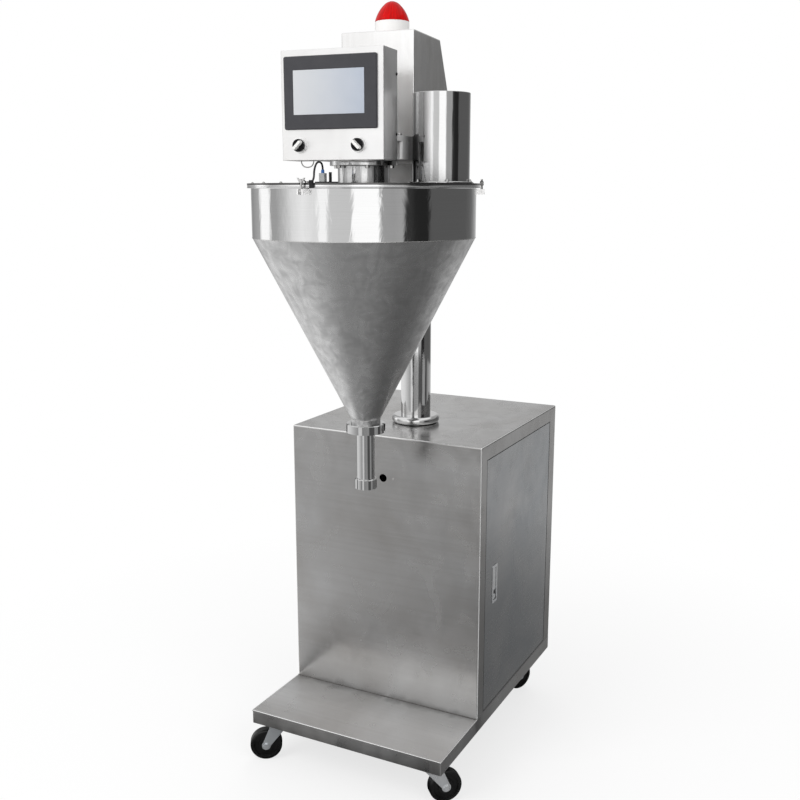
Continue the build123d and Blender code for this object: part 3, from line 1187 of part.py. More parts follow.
# Rim clamps: brackets with pins on the hopper, and the swing bolts with wing nuts
with BuildPart() as clamp_brackets:
    for angle in CLAMP_ANGLES:
        base_z = RIM_TOP - RIM_THICK - CLAMP_RIM_GAP
        with BuildSketch(rim_plane(angle, HOPPER_RADIUS, base_z)):
            with Locations((CLAMP_BASE_THICK / 2, 0)):
                Rectangle(CLAMP_BASE_THICK, CLAMP_BASE_WIDTH)
            ear_reach = CLAMP_PIN_OUT + CLAMP_EAR_REACH
            with Locations((ear_reach / 2, 0)):
                with GridLocations(0, CLAMP_EAR_GAP + CLAMP_EAR, 1, 2):
                    Rectangle(ear_reach, CLAMP_EAR)
        extrude(amount=-CLAMP_EAR_HEIGHT)
        pin_level = rim_plane(angle, CLAMP_PIN_R, CLAMP_PIN_Z)
        with BuildSketch(upright(pin_level)):
            Circle(CLAMP_PIN_RADIUS + SEAT)
        extrude(amount=CLAMP_PIN_LENGTH / 2, both=True, mode=Mode.SUBTRACT)
with BuildPart() as clamp_pins:
    for angle in CLAMP_ANGLES:
        pin_level = rim_plane(angle, CLAMP_PIN_R, CLAMP_PIN_Z)
        with BuildSketch(upright(pin_level)):
            Circle(CLAMP_PIN_RADIUS)
        extrude(amount=CLAMP_PIN_LENGTH / 2, both=True)
bracket_set = Compound(label="clamp_brackets", children=[clamp_brackets.part, clamp_pins.part])
export_step(bracket_set, "parts/clamp_brackets.step")

WING_Z = LID_TOP + WING_GAP
for number, angle in enumerate(CLAMP_ANGLES, start=1):
    pin_level = rim_plane(angle, CLAMP_PIN_R, CLAMP_PIN_Z)
    with BuildPart() as swing_bolt:
        with BuildSketch(upright(pin_level)):
            Circle(SWING_EYE_RADIUS)
        extrude(amount=CLAMP_EAR_GAP / 2 - SIDE_PLAY, both=True)
        with BuildSketch(pin_level):
            Circle(SWING_SHANK_RADIUS)
        extrude(amount=SWING_SHANK_LENGTH)
        with BuildSketch(upright(pin_level)):
            Circle(CLAMP_PIN_RADIUS + RUNNING)
        extrude(amount=CLAMP_EAR_GAP / 2, both=True, mode=Mode.SUBTRACT)
    with BuildPart() as wing_nut:
        nut_level = rim_plane(angle, CLAMP_PIN_R, WING_Z)
        with BuildSketch(nut_level):
            Circle(WING_HUB_RADIUS)
        extrude(amount=WING_HUB_HEIGHT, taper=WING_HUB_TAPER)
        for side in (1, -1):
            with BuildSketch(Plane(origin=nut_level.origin, x_dir=nut_level.y_dir, z_dir=nut_level.x_dir)):
                with BuildLine():
                    Polyline(
                        (side * SWING_SHANK_RADIUS, WING_THICK),
                        (side * WING_ROOT, WING_THICK),
                        (side * WING_SPAN, WING_RISE),
                        (side * WING_TIP, WING_RISE),
                        (side * SWING_SHANK_RADIUS, WING_HUB_HEIGHT),
                        close=True,
                    )
                make_face()
            extrude(amount=WING_THICK / 2, both=True)
        with BuildSketch(nut_level):
            Circle(SWING_SHANK_RADIUS + SEAT)
        extrude(amount=WING_HUB_HEIGHT, mode=Mode.SUBTRACT)
    swing_set = Compound(label=f"swing_bolt_{number}", children=[swing_bolt.part, wing_nut.part])
    export_step(swing_set, f"parts/swing_bolt_{number}.step")

# Level sensor with its boot, and the black strip, post and rim clip
SENSOR_PLACE = head_plane(SENSOR_RIGHT, SENSOR_FORWARD, LID_TOP + STRIP_THICK)
with BuildPart() as level_sensor:
    with BuildSketch(SENSOR_PLACE):
        Rectangle(SENSOR_SIDE, SENSOR_SIDE)
    extrude(amount=SENSOR_HEIGHT)
    with BuildSketch(SENSOR_PLACE.offset(SENSOR_HEIGHT)):
        Circle(BOOT_RADIUS)
    extrude(amount=BOOT_HEIGHT, taper=BOOT_TAPER)
write(level_sensor, "level_sensor")

with BuildPart() as sensor_bracket:
    with BuildSketch(head_plane(SENSOR_RIGHT, SENSOR_FORWARD, LID_TOP)):
        with Locations((POST_OFFSET / 2, 0)):
            RectangleRounded(STRIP_LENGTH, STRIP_WIDTH, STRIP_THICK)
    extrude(amount=STRIP_THICK)
    with BuildSketch(SENSOR_PLACE):
        with Locations((POST_OFFSET, 0)):
            Circle(POST_RADIUS)
    extrude(amount=POST_HEIGHT)
    with BuildSketch(rim_plane(CLIP_ANGLE, RIM_RADIUS, LID_TOP + CLIP_RISE)):
        with Locations((CLIP_DEPTH / 2, 0)):
            RectangleRounded(CLIP_DEPTH, CLIP_LENGTH, 2 * SIDE_PLAY)
    extrude(amount=-CLIP_HEIGHT)
write(sensor_bracket, "sensor_bracket")

# Cords follow hand-chosen points in the head's frame: right of and ahead of the column, and height
BOOT_TOP = LID_TOP + STRIP_THICK + SENSOR_HEIGHT + BOOT_HEIGHT
CLIP_RIGHT = RIM_RADIUS * sin(radians(CLIP_ANGLE))
SENSOR_LEAD_ROUTE = [
    (SENSOR_RIGHT, SENSOR_FORWARD, BOOT_TOP),
    (SENSOR_RIGHT, SENSOR_FORWARD, BOOT_TOP + 6),
    (SENSOR_RIGHT + 1, SENSOR_FORWARD + 8.8, BOOT_TOP + 14.8),
    (SENSOR_RIGHT + 5, SENSOR_FORWARD + 38, BOOT_TOP + 14.5),
    (SENSOR_RIGHT + 13, SENSOR_FORWARD + 68, BOOT_TOP - 1),
    (SENSOR_RIGHT + 25, SENSOR_FORWARD + 94, BOOT_TOP - 19),
    (CLIP_RIGHT, ARM + RIM_RADIUS - 2 * SIDE_PLAY, LID_TOP + SENSOR_LEAD_RADIUS + SIDE_PLAY),
]
PANEL_LEAD_FORWARD = PANEL_BACK + PANEL_LEAD_SETBACK
PANEL_LEAD_ROUTE = [
    (-86.0, PANEL_LEAD_FORWARD, PANEL_BOTTOM),
    (-86.0, PANEL_LEAD_FORWARD, PANEL_BOTTOM - 6),
    (-79.0, PANEL_LEAD_FORWARD, PANEL_BOTTOM - 13),
    (-65.0, PANEL_LEAD_FORWARD, PANEL_BOTTOM - 13),
    (-58.0, PANEL_LEAD_FORWARD, PANEL_BOTTOM - 6),
    (-58.0, PANEL_LEAD_FORWARD, PANEL_BOTTOM),
]


def corner_radii(points: list) -> list:
    """Largest radius at each corner that its two runs leave room for."""
    vectors = [Vector(*point) for point in points]
    runs = [after - before for before, after in zip(vectors, vectors[1:])]
    rooms = [CORD_RUN_SHARE * run.length for run in runs]
    rooms[0] *= 2
    rooms[-1] *= 2
    radii = []
    for run_in, run_out, room_in, room_out in zip(runs, runs[1:], rooms, rooms[1:]):
        half_turn = radians(run_in.get_angle(run_out)) / 2
        radii.append(min(room_in, room_out) / tan(half_turn))
    return radii


for cord_name, route, radius in (
    ("sensor_cable", SENSOR_LEAD_ROUTE, SENSOR_LEAD_RADIUS),
    ("panel_cable", PANEL_LEAD_ROUTE, PANEL_LEAD_RADIUS),
):
    points = [tuple(HEAD.from_local_coords((right, -forward, z))) for right, forward, z in route]
    with BuildPart() as cord:
        with BuildLine() as run:
            FilletPolyline(*points, radius=corner_radii(points))
        with BuildSketch(Plane(origin=run.wire() @ 0, z_dir=run.wire() % 0)):
            Circle(radius)
        sweep(path=run.wire())
    write(cord, cord_name)

# Panel box with cut-outs for the touch panel and the selectors
PANEL_DEPTH = PANEL_FRONT - PANEL_BACK
PANEL_FACE = upright(head_plane(0, PANEL_FRONT, PANEL_BOTTOM))
KNOB_Z = KNOB_RISE
with BuildPart() as panel_box:
    with BuildSketch(PANEL_FACE):
        with Locations((0, PANEL_HEIGHT / 2)):
            Rectangle(2 * PANEL_HALF_WIDTH, PANEL_HEIGHT)
    extrude(amount=-PANEL_DEPTH)
    fillet(panel_box.edges().filter_by(Axis.Z), PANEL_ROUND)
    with BuildSketch(PANEL_FACE.offset(-PANEL_SHEET)):
        with Locations((0, PANEL_HEIGHT / 2)):
            Rectangle(2 * (PANEL_HALF_WIDTH - PANEL_SHEET), PANEL_HEIGHT - 2 * PANEL_SHEET)
    extrude(amount=2 * PANEL_SHEET - PANEL_DEPTH, mode=Mode.SUBTRACT)
    with BuildSketch(PANEL_FACE):
        with Locations((TOUCH_OFFSET, TOUCH_CENTRE_RISE)):
            Rectangle(TOUCH_BODY_WIDTH + 2 * SEAT, TOUCH_BODY_HEIGHT + 2 * SEAT)
        with Locations(*[(place, KNOB_Z) for place in KNOB_PLACES.values()]):
            Circle(KNOB_BORE + SEAT)
    extrude(amount=-2 * PANEL_SHEET, mode=Mode.SUBTRACT)
write(panel_box, "panel_box")

with BuildPart() as touch_panel:
    with BuildSketch(PANEL_FACE):
        with Locations((TOUCH_OFFSET, TOUCH_CENTRE_RISE)):
            RectangleRounded(TOUCH_WIDTH, TOUCH_HEIGHT, TOUCH_CORNER)
    extrude(amount=TOUCH_PROUD)
    bezel_front = touch_panel.faces().sort_by(Axis(PANEL_FACE.origin, PANEL_FACE.z_dir))[-1]
    chamfer(bezel_front.edges(), TOUCH_EDGE)
    with BuildSketch(PANEL_FACE.offset(TOUCH_PROUD)):
        with Locations((TOUCH_OFFSET + SCREEN_OFFSET, TOUCH_CENTRE_RISE + SCREEN_RISE)):
            Rectangle(SCREEN_WIDTH, SCREEN_HEIGHT)
    extrude(amount=-SCREEN_RECESS, mode=Mode.SUBTRACT)
    with BuildSketch(PANEL_FACE):
        with Locations((TOUCH_OFFSET, TOUCH_CENTRE_RISE)):
            Rectangle(TOUCH_BODY_WIDTH, TOUCH_BODY_HEIGHT)
    extrude(amount=-TOUCH_BODY_DEPTH)
write(touch_panel, "touch_panel")

with BuildPart() as selector_rings:
    with BuildSketch(PANEL_FACE):
        with Locations(*[(place, KNOB_Z) for place in KNOB_PLACES.values()]):
            Circle(KNOB_RING_RADIUS)
            Circle(KNOB_BORE, mode=Mode.SUBTRACT)
    extrude(amount=KNOB_RING_THICK)
    chamfer(selector_rings.edges().filter_by(GeomType.CIRCLE).sort_by(SortBy.RADIUS)[-2:], SIDE_PLAY)
write(selector_rings, "selector_rings")

for side, place in KNOB_PLACES.items():
    knob_face = PANEL_FACE.offset(KNOB_RING_THICK + BELT_GAP)
    with BuildPart() as knob:
        with BuildSketch(knob_face):
            with Locations((place, KNOB_Z)):
                Circle(KNOB_RADIUS)
        extrude(amount=KNOB_DISC)
        with BuildSketch(knob_face.offset(KNOB_DISC)):
            with Locations((place, KNOB_Z)):
                grip_length = 2 * (KNOB_RADIUS - SIDE_PLAY)
                SlotOverall(grip_length, KNOB_GRIP_WIDTH, rotation=90 + KNOB_POINTERS[side])
        extrude(amount=KNOB_GRIP_HEIGHT, taper=KNOB_GRIP_TAPER)
        with BuildSketch(knob_face):
            with Locations((place, KNOB_Z)):
                Circle(KNOB_BORE - RUNNING)
        extrude(amount=-KNOB_RING_THICK - BELT_GAP - PANEL_SHEET)
    write(knob, f"selector_{side}")

# Bolts of the head: along the drive plate and under the neck flange
with BuildPart() as head_bolts:
    bolt_span = PLATE_LENGTH - 2 * PLATE_BOLT_INSET - (PANEL_BACK - CASE_FRONT)
    with BuildSketch(head_plane(0, (CASE_FRONT - CASE_REAR) / 2, PLATE_TOP)):
        bolt_pitch = bolt_span / (PLATE_BOLT_COUNT - 1)
        with GridLocations(2 * (CASE_HALF_WIDTH - PLATE_BOLT_INSET), bolt_pitch, 2, PLATE_BOLT_COUNT):
            Circle(BOLT_RADIUS)
    extrude(amount=BOLT_HEIGHT)
    fillet(head_bolts.edges().filter_by(GeomType.CIRCLE).group_by(Axis.Z)[-1], BOLT_ROUND)
    with BuildSketch(SPINDLE.offset(NECK_FLANGE_BOTTOM)):
        with PolarLocations(NECK_BOLT_CIRCLE, NECK_BOLT_COUNT):
            RegularPolygon(BOLT_RADIUS, 6)
    extrude(amount=-BOLT_HEIGHT)
write(head_bolts, "head_bolts")
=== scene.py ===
"""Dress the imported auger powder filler: finishes, turned pieces, fasteners, panel faces, cords, light and camera.

Metres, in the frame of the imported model: +Z up, the platform towards -Y, the origin on the floor under the column.
"""
import logging
import math
from dataclasses import dataclass, field
from enum import Enum
from functools import partial, reduce

import bmesh
import bpy
from mathutils import Matrix, Vector


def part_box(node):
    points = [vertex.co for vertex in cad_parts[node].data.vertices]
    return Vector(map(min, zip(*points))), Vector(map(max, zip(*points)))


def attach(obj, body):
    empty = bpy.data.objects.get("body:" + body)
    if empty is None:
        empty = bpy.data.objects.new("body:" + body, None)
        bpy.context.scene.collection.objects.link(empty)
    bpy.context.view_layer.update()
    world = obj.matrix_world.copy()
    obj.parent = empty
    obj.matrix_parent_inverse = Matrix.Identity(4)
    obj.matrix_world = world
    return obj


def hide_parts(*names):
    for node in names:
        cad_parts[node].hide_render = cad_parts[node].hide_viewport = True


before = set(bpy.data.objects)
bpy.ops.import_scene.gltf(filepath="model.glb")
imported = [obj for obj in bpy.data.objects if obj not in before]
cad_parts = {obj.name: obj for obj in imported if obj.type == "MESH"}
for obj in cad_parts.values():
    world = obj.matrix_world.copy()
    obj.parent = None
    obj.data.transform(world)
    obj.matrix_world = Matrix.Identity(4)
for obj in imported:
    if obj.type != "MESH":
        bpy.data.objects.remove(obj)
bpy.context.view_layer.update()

MM = 0.001
UP = Vector((0, 0, 1))
BLACK = (0.0, 0.0, 0.0)
WELD = 1e-6  # points nearer than this are one
SIDE_SHARE = 0.45  # how much of a short side a rounding may take
NOISE = (0.3, 0.7)  # where most values of a noise texture lie
OPENNESS = (0.34, 0.62)  # ambient occlusion values between which painted shade fades: the most shaded place, and a place that keeps its whole colour
log = logging.getLogger("powder_filler")

Socket = bpy.types.NodeSocket
Node = bpy.types.Node
NodeTree = bpy.types.NodeTree
Material = bpy.types.Material
Solid = bmesh.types.BMesh
Triple = tuple[float, float, float]
Colour = Triple
Value = Socket | float | Colour
Profile = list[tuple[float, float]]
Stops = tuple[tuple[float, float], ...]
Span = tuple[float, ...]
Places = list[tuple[Vector, Vector]]


class Grain(Enum):
    """Which way the marks of the grinding belt run."""

    LEVEL = "level"
    UPRIGHT = "upright"
    ROUND = "round"


def put(socket: Socket, value: object) -> None:
    """Link a socket to an input, or set a plain value on it.

    Args:
        socket: The input.
        value: A socket or a plain value; a colour gets its alpha.
    """
    if isinstance(value, Socket):
        socket.id_data.links.new(value, socket)
    else:
        socket.default_value = (*value, 1.0) if socket.type == "RGBA" and len(value) == 3 else value


def add_node(tree: NodeTree, kind: str, inputs: dict[int | str, object] | None = None, **settings: object) -> Node:
    """Add a node to a tree.

    Args:
        tree: The tree.
        kind: Type of the node.
        inputs: Sockets or plain values for its inputs, by number or name.
        settings: Its other properties.

    Returns:
        The new node.
    """
    node = tree.nodes.new(kind)
    for name, setting in settings.items():
        setattr(node, name, setting)
    for name, value in (inputs or {}).items():
        put(node.inputs[name], value)
    return node


class ShaderTree:
    """Writes the nodes of one material."""

    def __init__(self, name: str) -> None:
        """Start an empty material with a principled shader.

        Args:
            name: The material's name.
        """
        self.material = bpy.data.materials.new(name)
        self.material.use_nodes = True
        self.tree = self.material.node_tree
        self.tree.nodes.clear()
        self.output = self.add("OutputMaterial")
        self.shader = self.add("BsdfPrincipled")
        put(self.output.inputs["Surface"], self.shader.outputs["BSDF"])
        self.coords = self.add("TexCoord").outputs

    def add(self, kind: str, inputs: dict[int | str, object] | None = None, **settings: object) -> Node:
        """Add a shader node; see add_node."""
        return add_node(self.tree, f"ShaderNode{kind}", inputs, **settings)

    def set(self, **values: Value) -> None:
        """Set inputs of the principled shader; underscores stand for spaces."""
        for name, value in values.items():
            put(self.shader.inputs[name.replace("_", " ")], value)

    def math(self, operation: str, a: Value, b: Value = 0.0) -> Socket:
        """Add a Math node and return its result."""
        return self.add("Math", {0: a, 1: b}, operation=operation).outputs[0]

    def weigh(self, a: Socket, share_a: float, b: Socket, share_b: float) -> Socket:
        """Add two values up, each times its share."""
        return self.math("ADD", self.math("MULTIPLY", a, share_a), self.math("MULTIPLY", b, share_b))

    def most(self, *values: Socket) -> Socket:
        """The highest of some values."""
        return reduce(partial(self.math, "MAXIMUM"), values)

    def fit(self, value: Value, low: float, high: float, to_low: float = 0.0, to_high: float = 1.0) -> Socket:
        """Map a range of values onto another, clamped at its ends."""
        return self.add("MapRange", dict(enumerate((value, low, high, to_low, to_high)))).outputs[0]

    def mix(self, factor: Value, a: Value, b: Value) -> Socket:
        """Mix two colours."""
        return self.add("Mix", {0: factor, 6: a, 7: b}, data_type="RGBA").outputs[2]

    def blend(self, factor: Value, a: Value, b: Value) -> Socket:
        """Mix two numbers."""
        return self.add("Mix", {0: factor, 2: a, 3: b}).outputs[0]

    def noise(self, stretch: Triple, detail: float = 3.0, distortion: float = 0.0,
              source: Socket | None = None) -> Socket:
        """Add noise on the object's own coordinates.

        Args:
            stretch: Cycles a metre along X, Y and Z.
            detail: Octaves of finer noise.
            distortion: How far the pattern is twisted.
            source: Coordinates to read in place of the object's own.

        Returns:
            The noise value, about 0.3 to 0.7.
        """
        mapping = self.add("Mapping", {"Vector": source or self.coords["Object"], "Scale": stretch})
        return self.add("TexNoise", {"Vector": mapping.outputs[0], "Scale": 1.0, "Detail": detail,
                                     "Distortion": distortion}).outputs["Fac"]

    def axis(self, name: str, source: Socket | None = None) -> Socket:
        """The X, Y or Z of the object's own coordinates, or of others."""
        return self.add("SeparateXYZ", {0: source or self.coords["Object"]}).outputs[name]

    def square_to(self, name: str) -> Socket:
        """How squarely the surface faces along X, Y or Z, either way."""
        return self.math("ABSOLUTE", self.axis(name, self.coords["Normal"]))

    def along(self, direction: Vector) -> Socket:
        """How far a point of the object lies along a direction."""
        return self.add("VectorMath", {0: self.coords["Object"], 1: tuple(direction)},
                        operation="DOT_PRODUCT").outputs["Value"]

    def around(self, centre: Vector) -> Socket:
        """Coordinates for marks that run round a piece.

        Args:
            centre: A point on the piece's upright axis.

        Returns:
            The turn about the axis, the distance from it and the height.
        """
        shifted = self.add("VectorMath", {0: self.coords["Object"], 1: (centre.x, centre.y, 0)}, operation="SUBTRACT")
        x, y, z = self.add("SeparateXYZ", {0: shifted.outputs[0]}).outputs
        flat = self.math("SQRT", self.math("ADD", self.math("POWER", x, 2.0), self.math("POWER", y, 2.0)))
        return self.add("CombineXYZ", {0: self.math("ARCTAN2", y, x), 1: flat, 2: z}).outputs[0]

    def ramp(self, degrees: Socket, stops: Stops, half: float = 180) -> Socket:
        """Look a turn up in a list of stops, with a soft course between them.

        Args:
            degrees: The turn to look up.
            stops: Pairs of a turn and its brightness, in rising order.
            half: Turn at the ramp's end; it starts at the same turn to the other side.

        Returns:
            The brightness there.
        """
        top = max(shade for _, shade in stops)
        node = self.add("ValToRGB", {0: self.fit(degrees, -half, half)})
        elements = node.color_ramp.elements
        while len(elements) < len(stops):
            elements.new(1.0)
        for element, (place, shade) in zip(elements, stops):
            element.position = (place + half) / (2 * half)
            element.color = (*(shade / top,) * 3, 1)
        return self.math("MULTIPLY", node.outputs[0], top)

    def nook_shade(self, tone: Socket, distance: float, least: float) -> Socket:
        """Paint shade into a colour where other surfaces stand close, read from ambient occlusion.

        Args:
            tone: The colour in the open.
            distance: How near the other surfaces must be.
            least: Share of the colour that is left where the painted shade is deepest.

        Returns:
            The colour with the painted shade.
        """
        openness = self.add("AmbientOcclusion", {"Distance": distance}, samples=8).outputs["AO"]
        return self.mix(self.fit(openness, *OPENNESS, least, 1), BLACK, tone)

    def show(self, shader: Node) -> None:
        """Put another shader in place of the principled one."""
        put(self.output.inputs["Surface"], shader.outputs[0])
        self.tree.nodes.remove(self.shader)

    def relief(self, height: Socket, strength: float, edge: float = 0.0) -> None:
        """Bump the surface, over edges that catch light as if rounded.

        Args:
            height: The bump's height.
            strength: How strongly it shows.
            edge: Radius of the rounding that sharp edges seem to have.
        """
        bump = self.add("Bump", {"Strength": strength, "Distance": MM, "Height": height})
        if edge:
            put(bump.inputs["Normal"], self.add("Bevel", {"Radius": edge}, samples=6).outputs[0])
        self.set(Normal=bump.outputs[0])


@dataclass(frozen=True)
class SheetSteel:
    """Ground stainless sheet or plate, with belt marks, smudges and soft edges; where set, painted shade on its upright
    faces, near a seam and where other surfaces stand close, and a painted highlight on its folded edges.
    """

    name: str
    tone: float = 0.5
    warmth: float = 0.012
    roughness: float = 0.3
    grain: Grain = Grain.LEVEL
    marks: float = 0.14
    edge: float = 1.5 * MM
    metallic: float = 1.0
    wall_shade: float = 1.0
    fold_highlight: float = 0.0
    fold_highlight_tone: float = 0.9
    fold_highlight_metallic: float = 0.4
    level_from: float = 0.8
    flat_between: Span = (0.8, 0.97)
    seam: float | None = None
    nook_shade: float = 0.0
    nook_shade_least: float = 0.04

    def make(self, centre: Vector = Vector()) -> Material:
        """Build the material.

        Args:
            centre: Upright axis that round grain runs about.

        Returns:
            The finished material.
        """
        tree = ShaderTree(self.name)
        level = tree.math("GREATER_THAN", tree.square_to("Z"), self.level_from)
        if self.grain is Grain.ROUND:
            streaks = tree.noise((1.5, 900, 900), 3, source=tree.around(centre))
        else:
            fine, coarse = (1.2, 130) if self.grain is Grain.LEVEL else (130, 1.2)
            streaks = tree.blend(level, tree.noise((fine, fine, coarse), 1.5), tree.noise((1.2, 130, 1.2), 1.5))
        clouds = tree.noise((4.5, 4.5, 4.5), 3, 0.6)
        smudge = tree.noise((15, 15, 10), 3, 1.2)
        dark = self.tone * (1 - self.marks)
        pale = min(self.tone * (1 + self.marks), 0.95)
        shade = tree.fit(tree.weigh(streaks, 0.15, clouds, 0.85), *NOISE)
        tone = tree.mix(shade, (dark + self.warmth, dark, dark - self.warmth), (pale, pale, pale))
        # Painted shade on the tray in front of the cabinet's foot: a broad darkening over 110 mm, and a darker band
        # within 22 mm that partly stands for the dark joint.
        if self.seam is not None:
            gap = tree.math("ABSOLUTE", tree.math("SUBTRACT", tree.axis("Y"), self.seam))
            ragged = tree.math("ADD", gap, tree.fit(smudge, *NOISE, -12 * MM, 12 * MM))
            for near, far, most, share in ((0, 110 * MM, 0.38, 0.2), (2 * MM, 22 * MM, 0.5, 0.25)):
                tone = tree.mix(tree.fit(ragged, near, far, most, 0), tone, (dark * share,) * 3)
        # Painted shade: upright faces get a darker copy of the tone than level faces.
        if self.wall_shade != 1:
            tone = tree.mix(level, tree.mix(self.wall_shade, BLACK, tone), tone)
        metallic = self.metallic
        # Painted highlight: where a face turns between the main directions, as on folded edges, the tone is paler and
        # less metallic.
        if self.fold_highlight:
            flatness = tree.most(*(tree.square_to(axis) for axis in "XYZ"))
            rounded = tree.fit(flatness, *self.flat_between, self.fold_highlight, 0)
            tone = tree.mix(rounded, tone, (self.fold_highlight_tone,) * 3)
            metallic = tree.blend(rounded, self.metallic, self.fold_highlight_metallic)
        # Painted shade where other surfaces stand close, read from ambient occlusion.
        if self.nook_shade:
            tone = tree.nook_shade(tone, self.nook_shade, self.nook_shade_least)
        rough = tree.fit(tree.weigh(smudge, 1.0, streaks, 0.12), 0.36, 0.76, self.roughness - 0.06,
                         self.roughness + 0.08)
        tree.set(Base_Color=tone, Metallic=metallic, Roughness=rough)
        tree.relief(clouds, 0.15, self.edge)
        return tree.material


@dataclass(frozen=True)
class PolishedSteel:
    """Buffed stainless, nearly a mirror, with a slight waver; below a seam it may be satin with swirl marks, and it may
    carry painted shade where other surfaces stand close, outside its bore.
    """

    name: str
    tone: float = 0.72
    roughness: float = 0.05
    waver: float = 1.4
    nook_shade: float = 0.0
    nook_shade_least: float = 0.04
    bore: float = 0.0
    bore_roughness: float = 0.55
    satin_below: float | None = None
    satin_tone: float = 0.55
    satin_roughness: float = 0.3

    def make(self, centre: Vector = Vector()) -> Material:
        """Build the material.

        Args:
            centre: Upright axis of the turned piece.

        Returns:
            The finished material.
        """
        tree = ShaderTree(self.name)
        turned = tree.around(centre)
        waver = tree.noise((9, 2, 13), 3, 0.6, source=turned)
        hairs = tree.noise((2, 900, 900), 2, source=turned)
        rough = tree.fit(tree.noise((11, 11, 6), 5, 0.8), 0.35, 0.7, self.roughness - 0.02, self.roughness + 0.04)
        tone = tree.mix(tree.fit(hairs, 0.35, 0.65), (self.tone * 0.97,) * 3, (self.tone,) * 3)
        height = tree.weigh(waver, self.waver, hairs, 0.004)
        if self.satin_below is not None:
            satin = tree.math("LESS_THAN", tree.axis("Z"), self.satin_below)
            swirl = tree.noise((30, 30, 18), 6, 1.6)
            arcs = tree.noise((3, 60, 40), 4, 0.9, source=turned)
            worn = tree.weigh(swirl, 0.6, arcs, 0.4)
            wear = tree.fit(worn, 0.36, 0.64)
            dull = tree.mix(wear, (self.satin_tone * 0.8,) * 3, (self.satin_tone * 1.12,) * 3)
            tone = tree.mix(satin, tone, dull)
            rough = tree.blend(satin, rough, tree.fit(wear, 0, 1, self.satin_roughness + 0.08,
                                                      self.satin_roughness - 0.08))
            height = tree.blend(satin, height, tree.math("MULTIPLY", worn, 0.12))
        # Painted shade where other surfaces stand close, read from ambient occlusion; the bore keeps its tone and is
        # rougher.
        if self.nook_shade:
            inside = tree.math("LESS_THAN", tree.axis("Y", turned), self.bore)
            tone = tree.mix(inside, tree.nook_shade(tone, self.nook_shade, self.nook_shade_least), tone)
            rough = tree.blend(inside, rough, self.bore_roughness)
        tree.set(Base_Color=tone, Metallic=1.0, Roughness=rough)
        tree.relief(height, 0.4)
        return tree.material


@dataclass(frozen=True)
class Moulded:
    """Moulded plastic or rubber with a fine pebble and a little dust."""

    name: str
    colour: Colour
    roughness: float = 0.45
    dust: float = 0.15
    edge: float = 0.6 * MM
    shine: float = 0.5
    dust_tone: float = 0.6
    dust_share: float = 0.35

    def tree(self) -> ShaderTree:
        """Lay out the nodes.

        Returns:
            The material's nodes, open for more.
        """
        tree = ShaderTree(self.name)
        pebble = tree.noise((900, 900, 900), 2)
        dust = tree.noise((40, 40, 40), 6, 0.5)
        pale = tuple(c + (self.dust_tone - c) * self.dust * self.dust_share for c in self.colour)
        tree.set(
            Base_Color=tree.mix(tree.fit(dust, 0.4, 0.75), self.colour, pale),
            Roughness=tree.fit(dust, *NOISE, self.roughness - 0.06, self.roughness + 0.1),
            Specular_IOR_Level=self.shine,
        )
        tree.relief(pebble, 0.12, self.edge)
        return tree

    def make(self) -> Material:
        """Build the material."""
        return self.tree().material


@dataclass(frozen=True)
class TwoTone:
    """A moulding that changes colour past a plane, such as a dial with a pale pointer bar."""

    base: Moulded
    beyond: Colour
    direction: Vector
    distance: float

    @property
    def name(self) -> str:
        """The base moulding's name."""
        return self.base.name

    def make(self) -> Material:
        """Build the material.

        Returns:
            The finished material.
        """
        tree = self.base.tree()
        first = tree.shader.inputs["Base Color"].links[0].from_socket
        past = tree.math("GREATER_THAN", tree.along(self.direction), self.distance)
        tree.set(Base_Color=tree.mix(past, first, self.beyond))
        return tree.material


@dataclass(frozen=True)
class RedLens:
    """Deep red moulding with faint upright prisms."""

    name: str
    colour: Colour = (0.6, 0.001, 0.001)
    deep_share: float = 0.7

    def make(self, centre: Vector) -> Material:
        """Build the material.

        Args:
            centre: Upright axis of the dome.

        Returns:
            The finished material.
        """
        tree = ShaderTree(self.name)
        prisms = tree.noise((9, 4, 30), 2, source=tree.around(centre))
        deep = tuple(c * self.deep_share for c in self.colour)
        tree.set(
            Base_Color=tree.mix(tree.fit(prisms, 0.35, 0.65), self.colour, deep),
            Roughness=tree.fit(prisms, *NOISE, 0.12, 0.2), IOR=1.49,
            Specular_IOR_Level=0.12, Coat_Weight=0.06, Coat_Roughness=0.04,
        )
        tree.relief(prisms, 0.01)
        return tree.material


@dataclass(frozen=True)
class ScreenGlass:
    """The panel's unlit screen: pale grey on the left, cooler on the right."""

    name: str
    across: Vector
    left: float
    right: float
    warm: Colour = (0.52, 0.53, 0.54)
    cool: Colour = (0.36, 0.4, 0.47)
    hazy: Colour = (0.6, 0.6, 0.62)

    def make(self) -> Material:
        """Build the material.

        Returns:
            The finished material.
        """
        tree = ShaderTree(self.name)
        place = tree.fit(tree.along(self.across), self.left, self.right)
        haze = tree.noise((30, 30, 30), 4)
        tone = tree.mix(tree.math("SMOOTH_MAX", place, 0.0), self.warm, self.cool)
        tree.set(Base_Color=tree.mix(tree.fit(haze, *NOISE, 0, 0.1), tone, self.hazy),
                 Roughness=tree.fit(haze, *NOISE, 0.3, 0.36), IOR=1.5)
        return tree.material


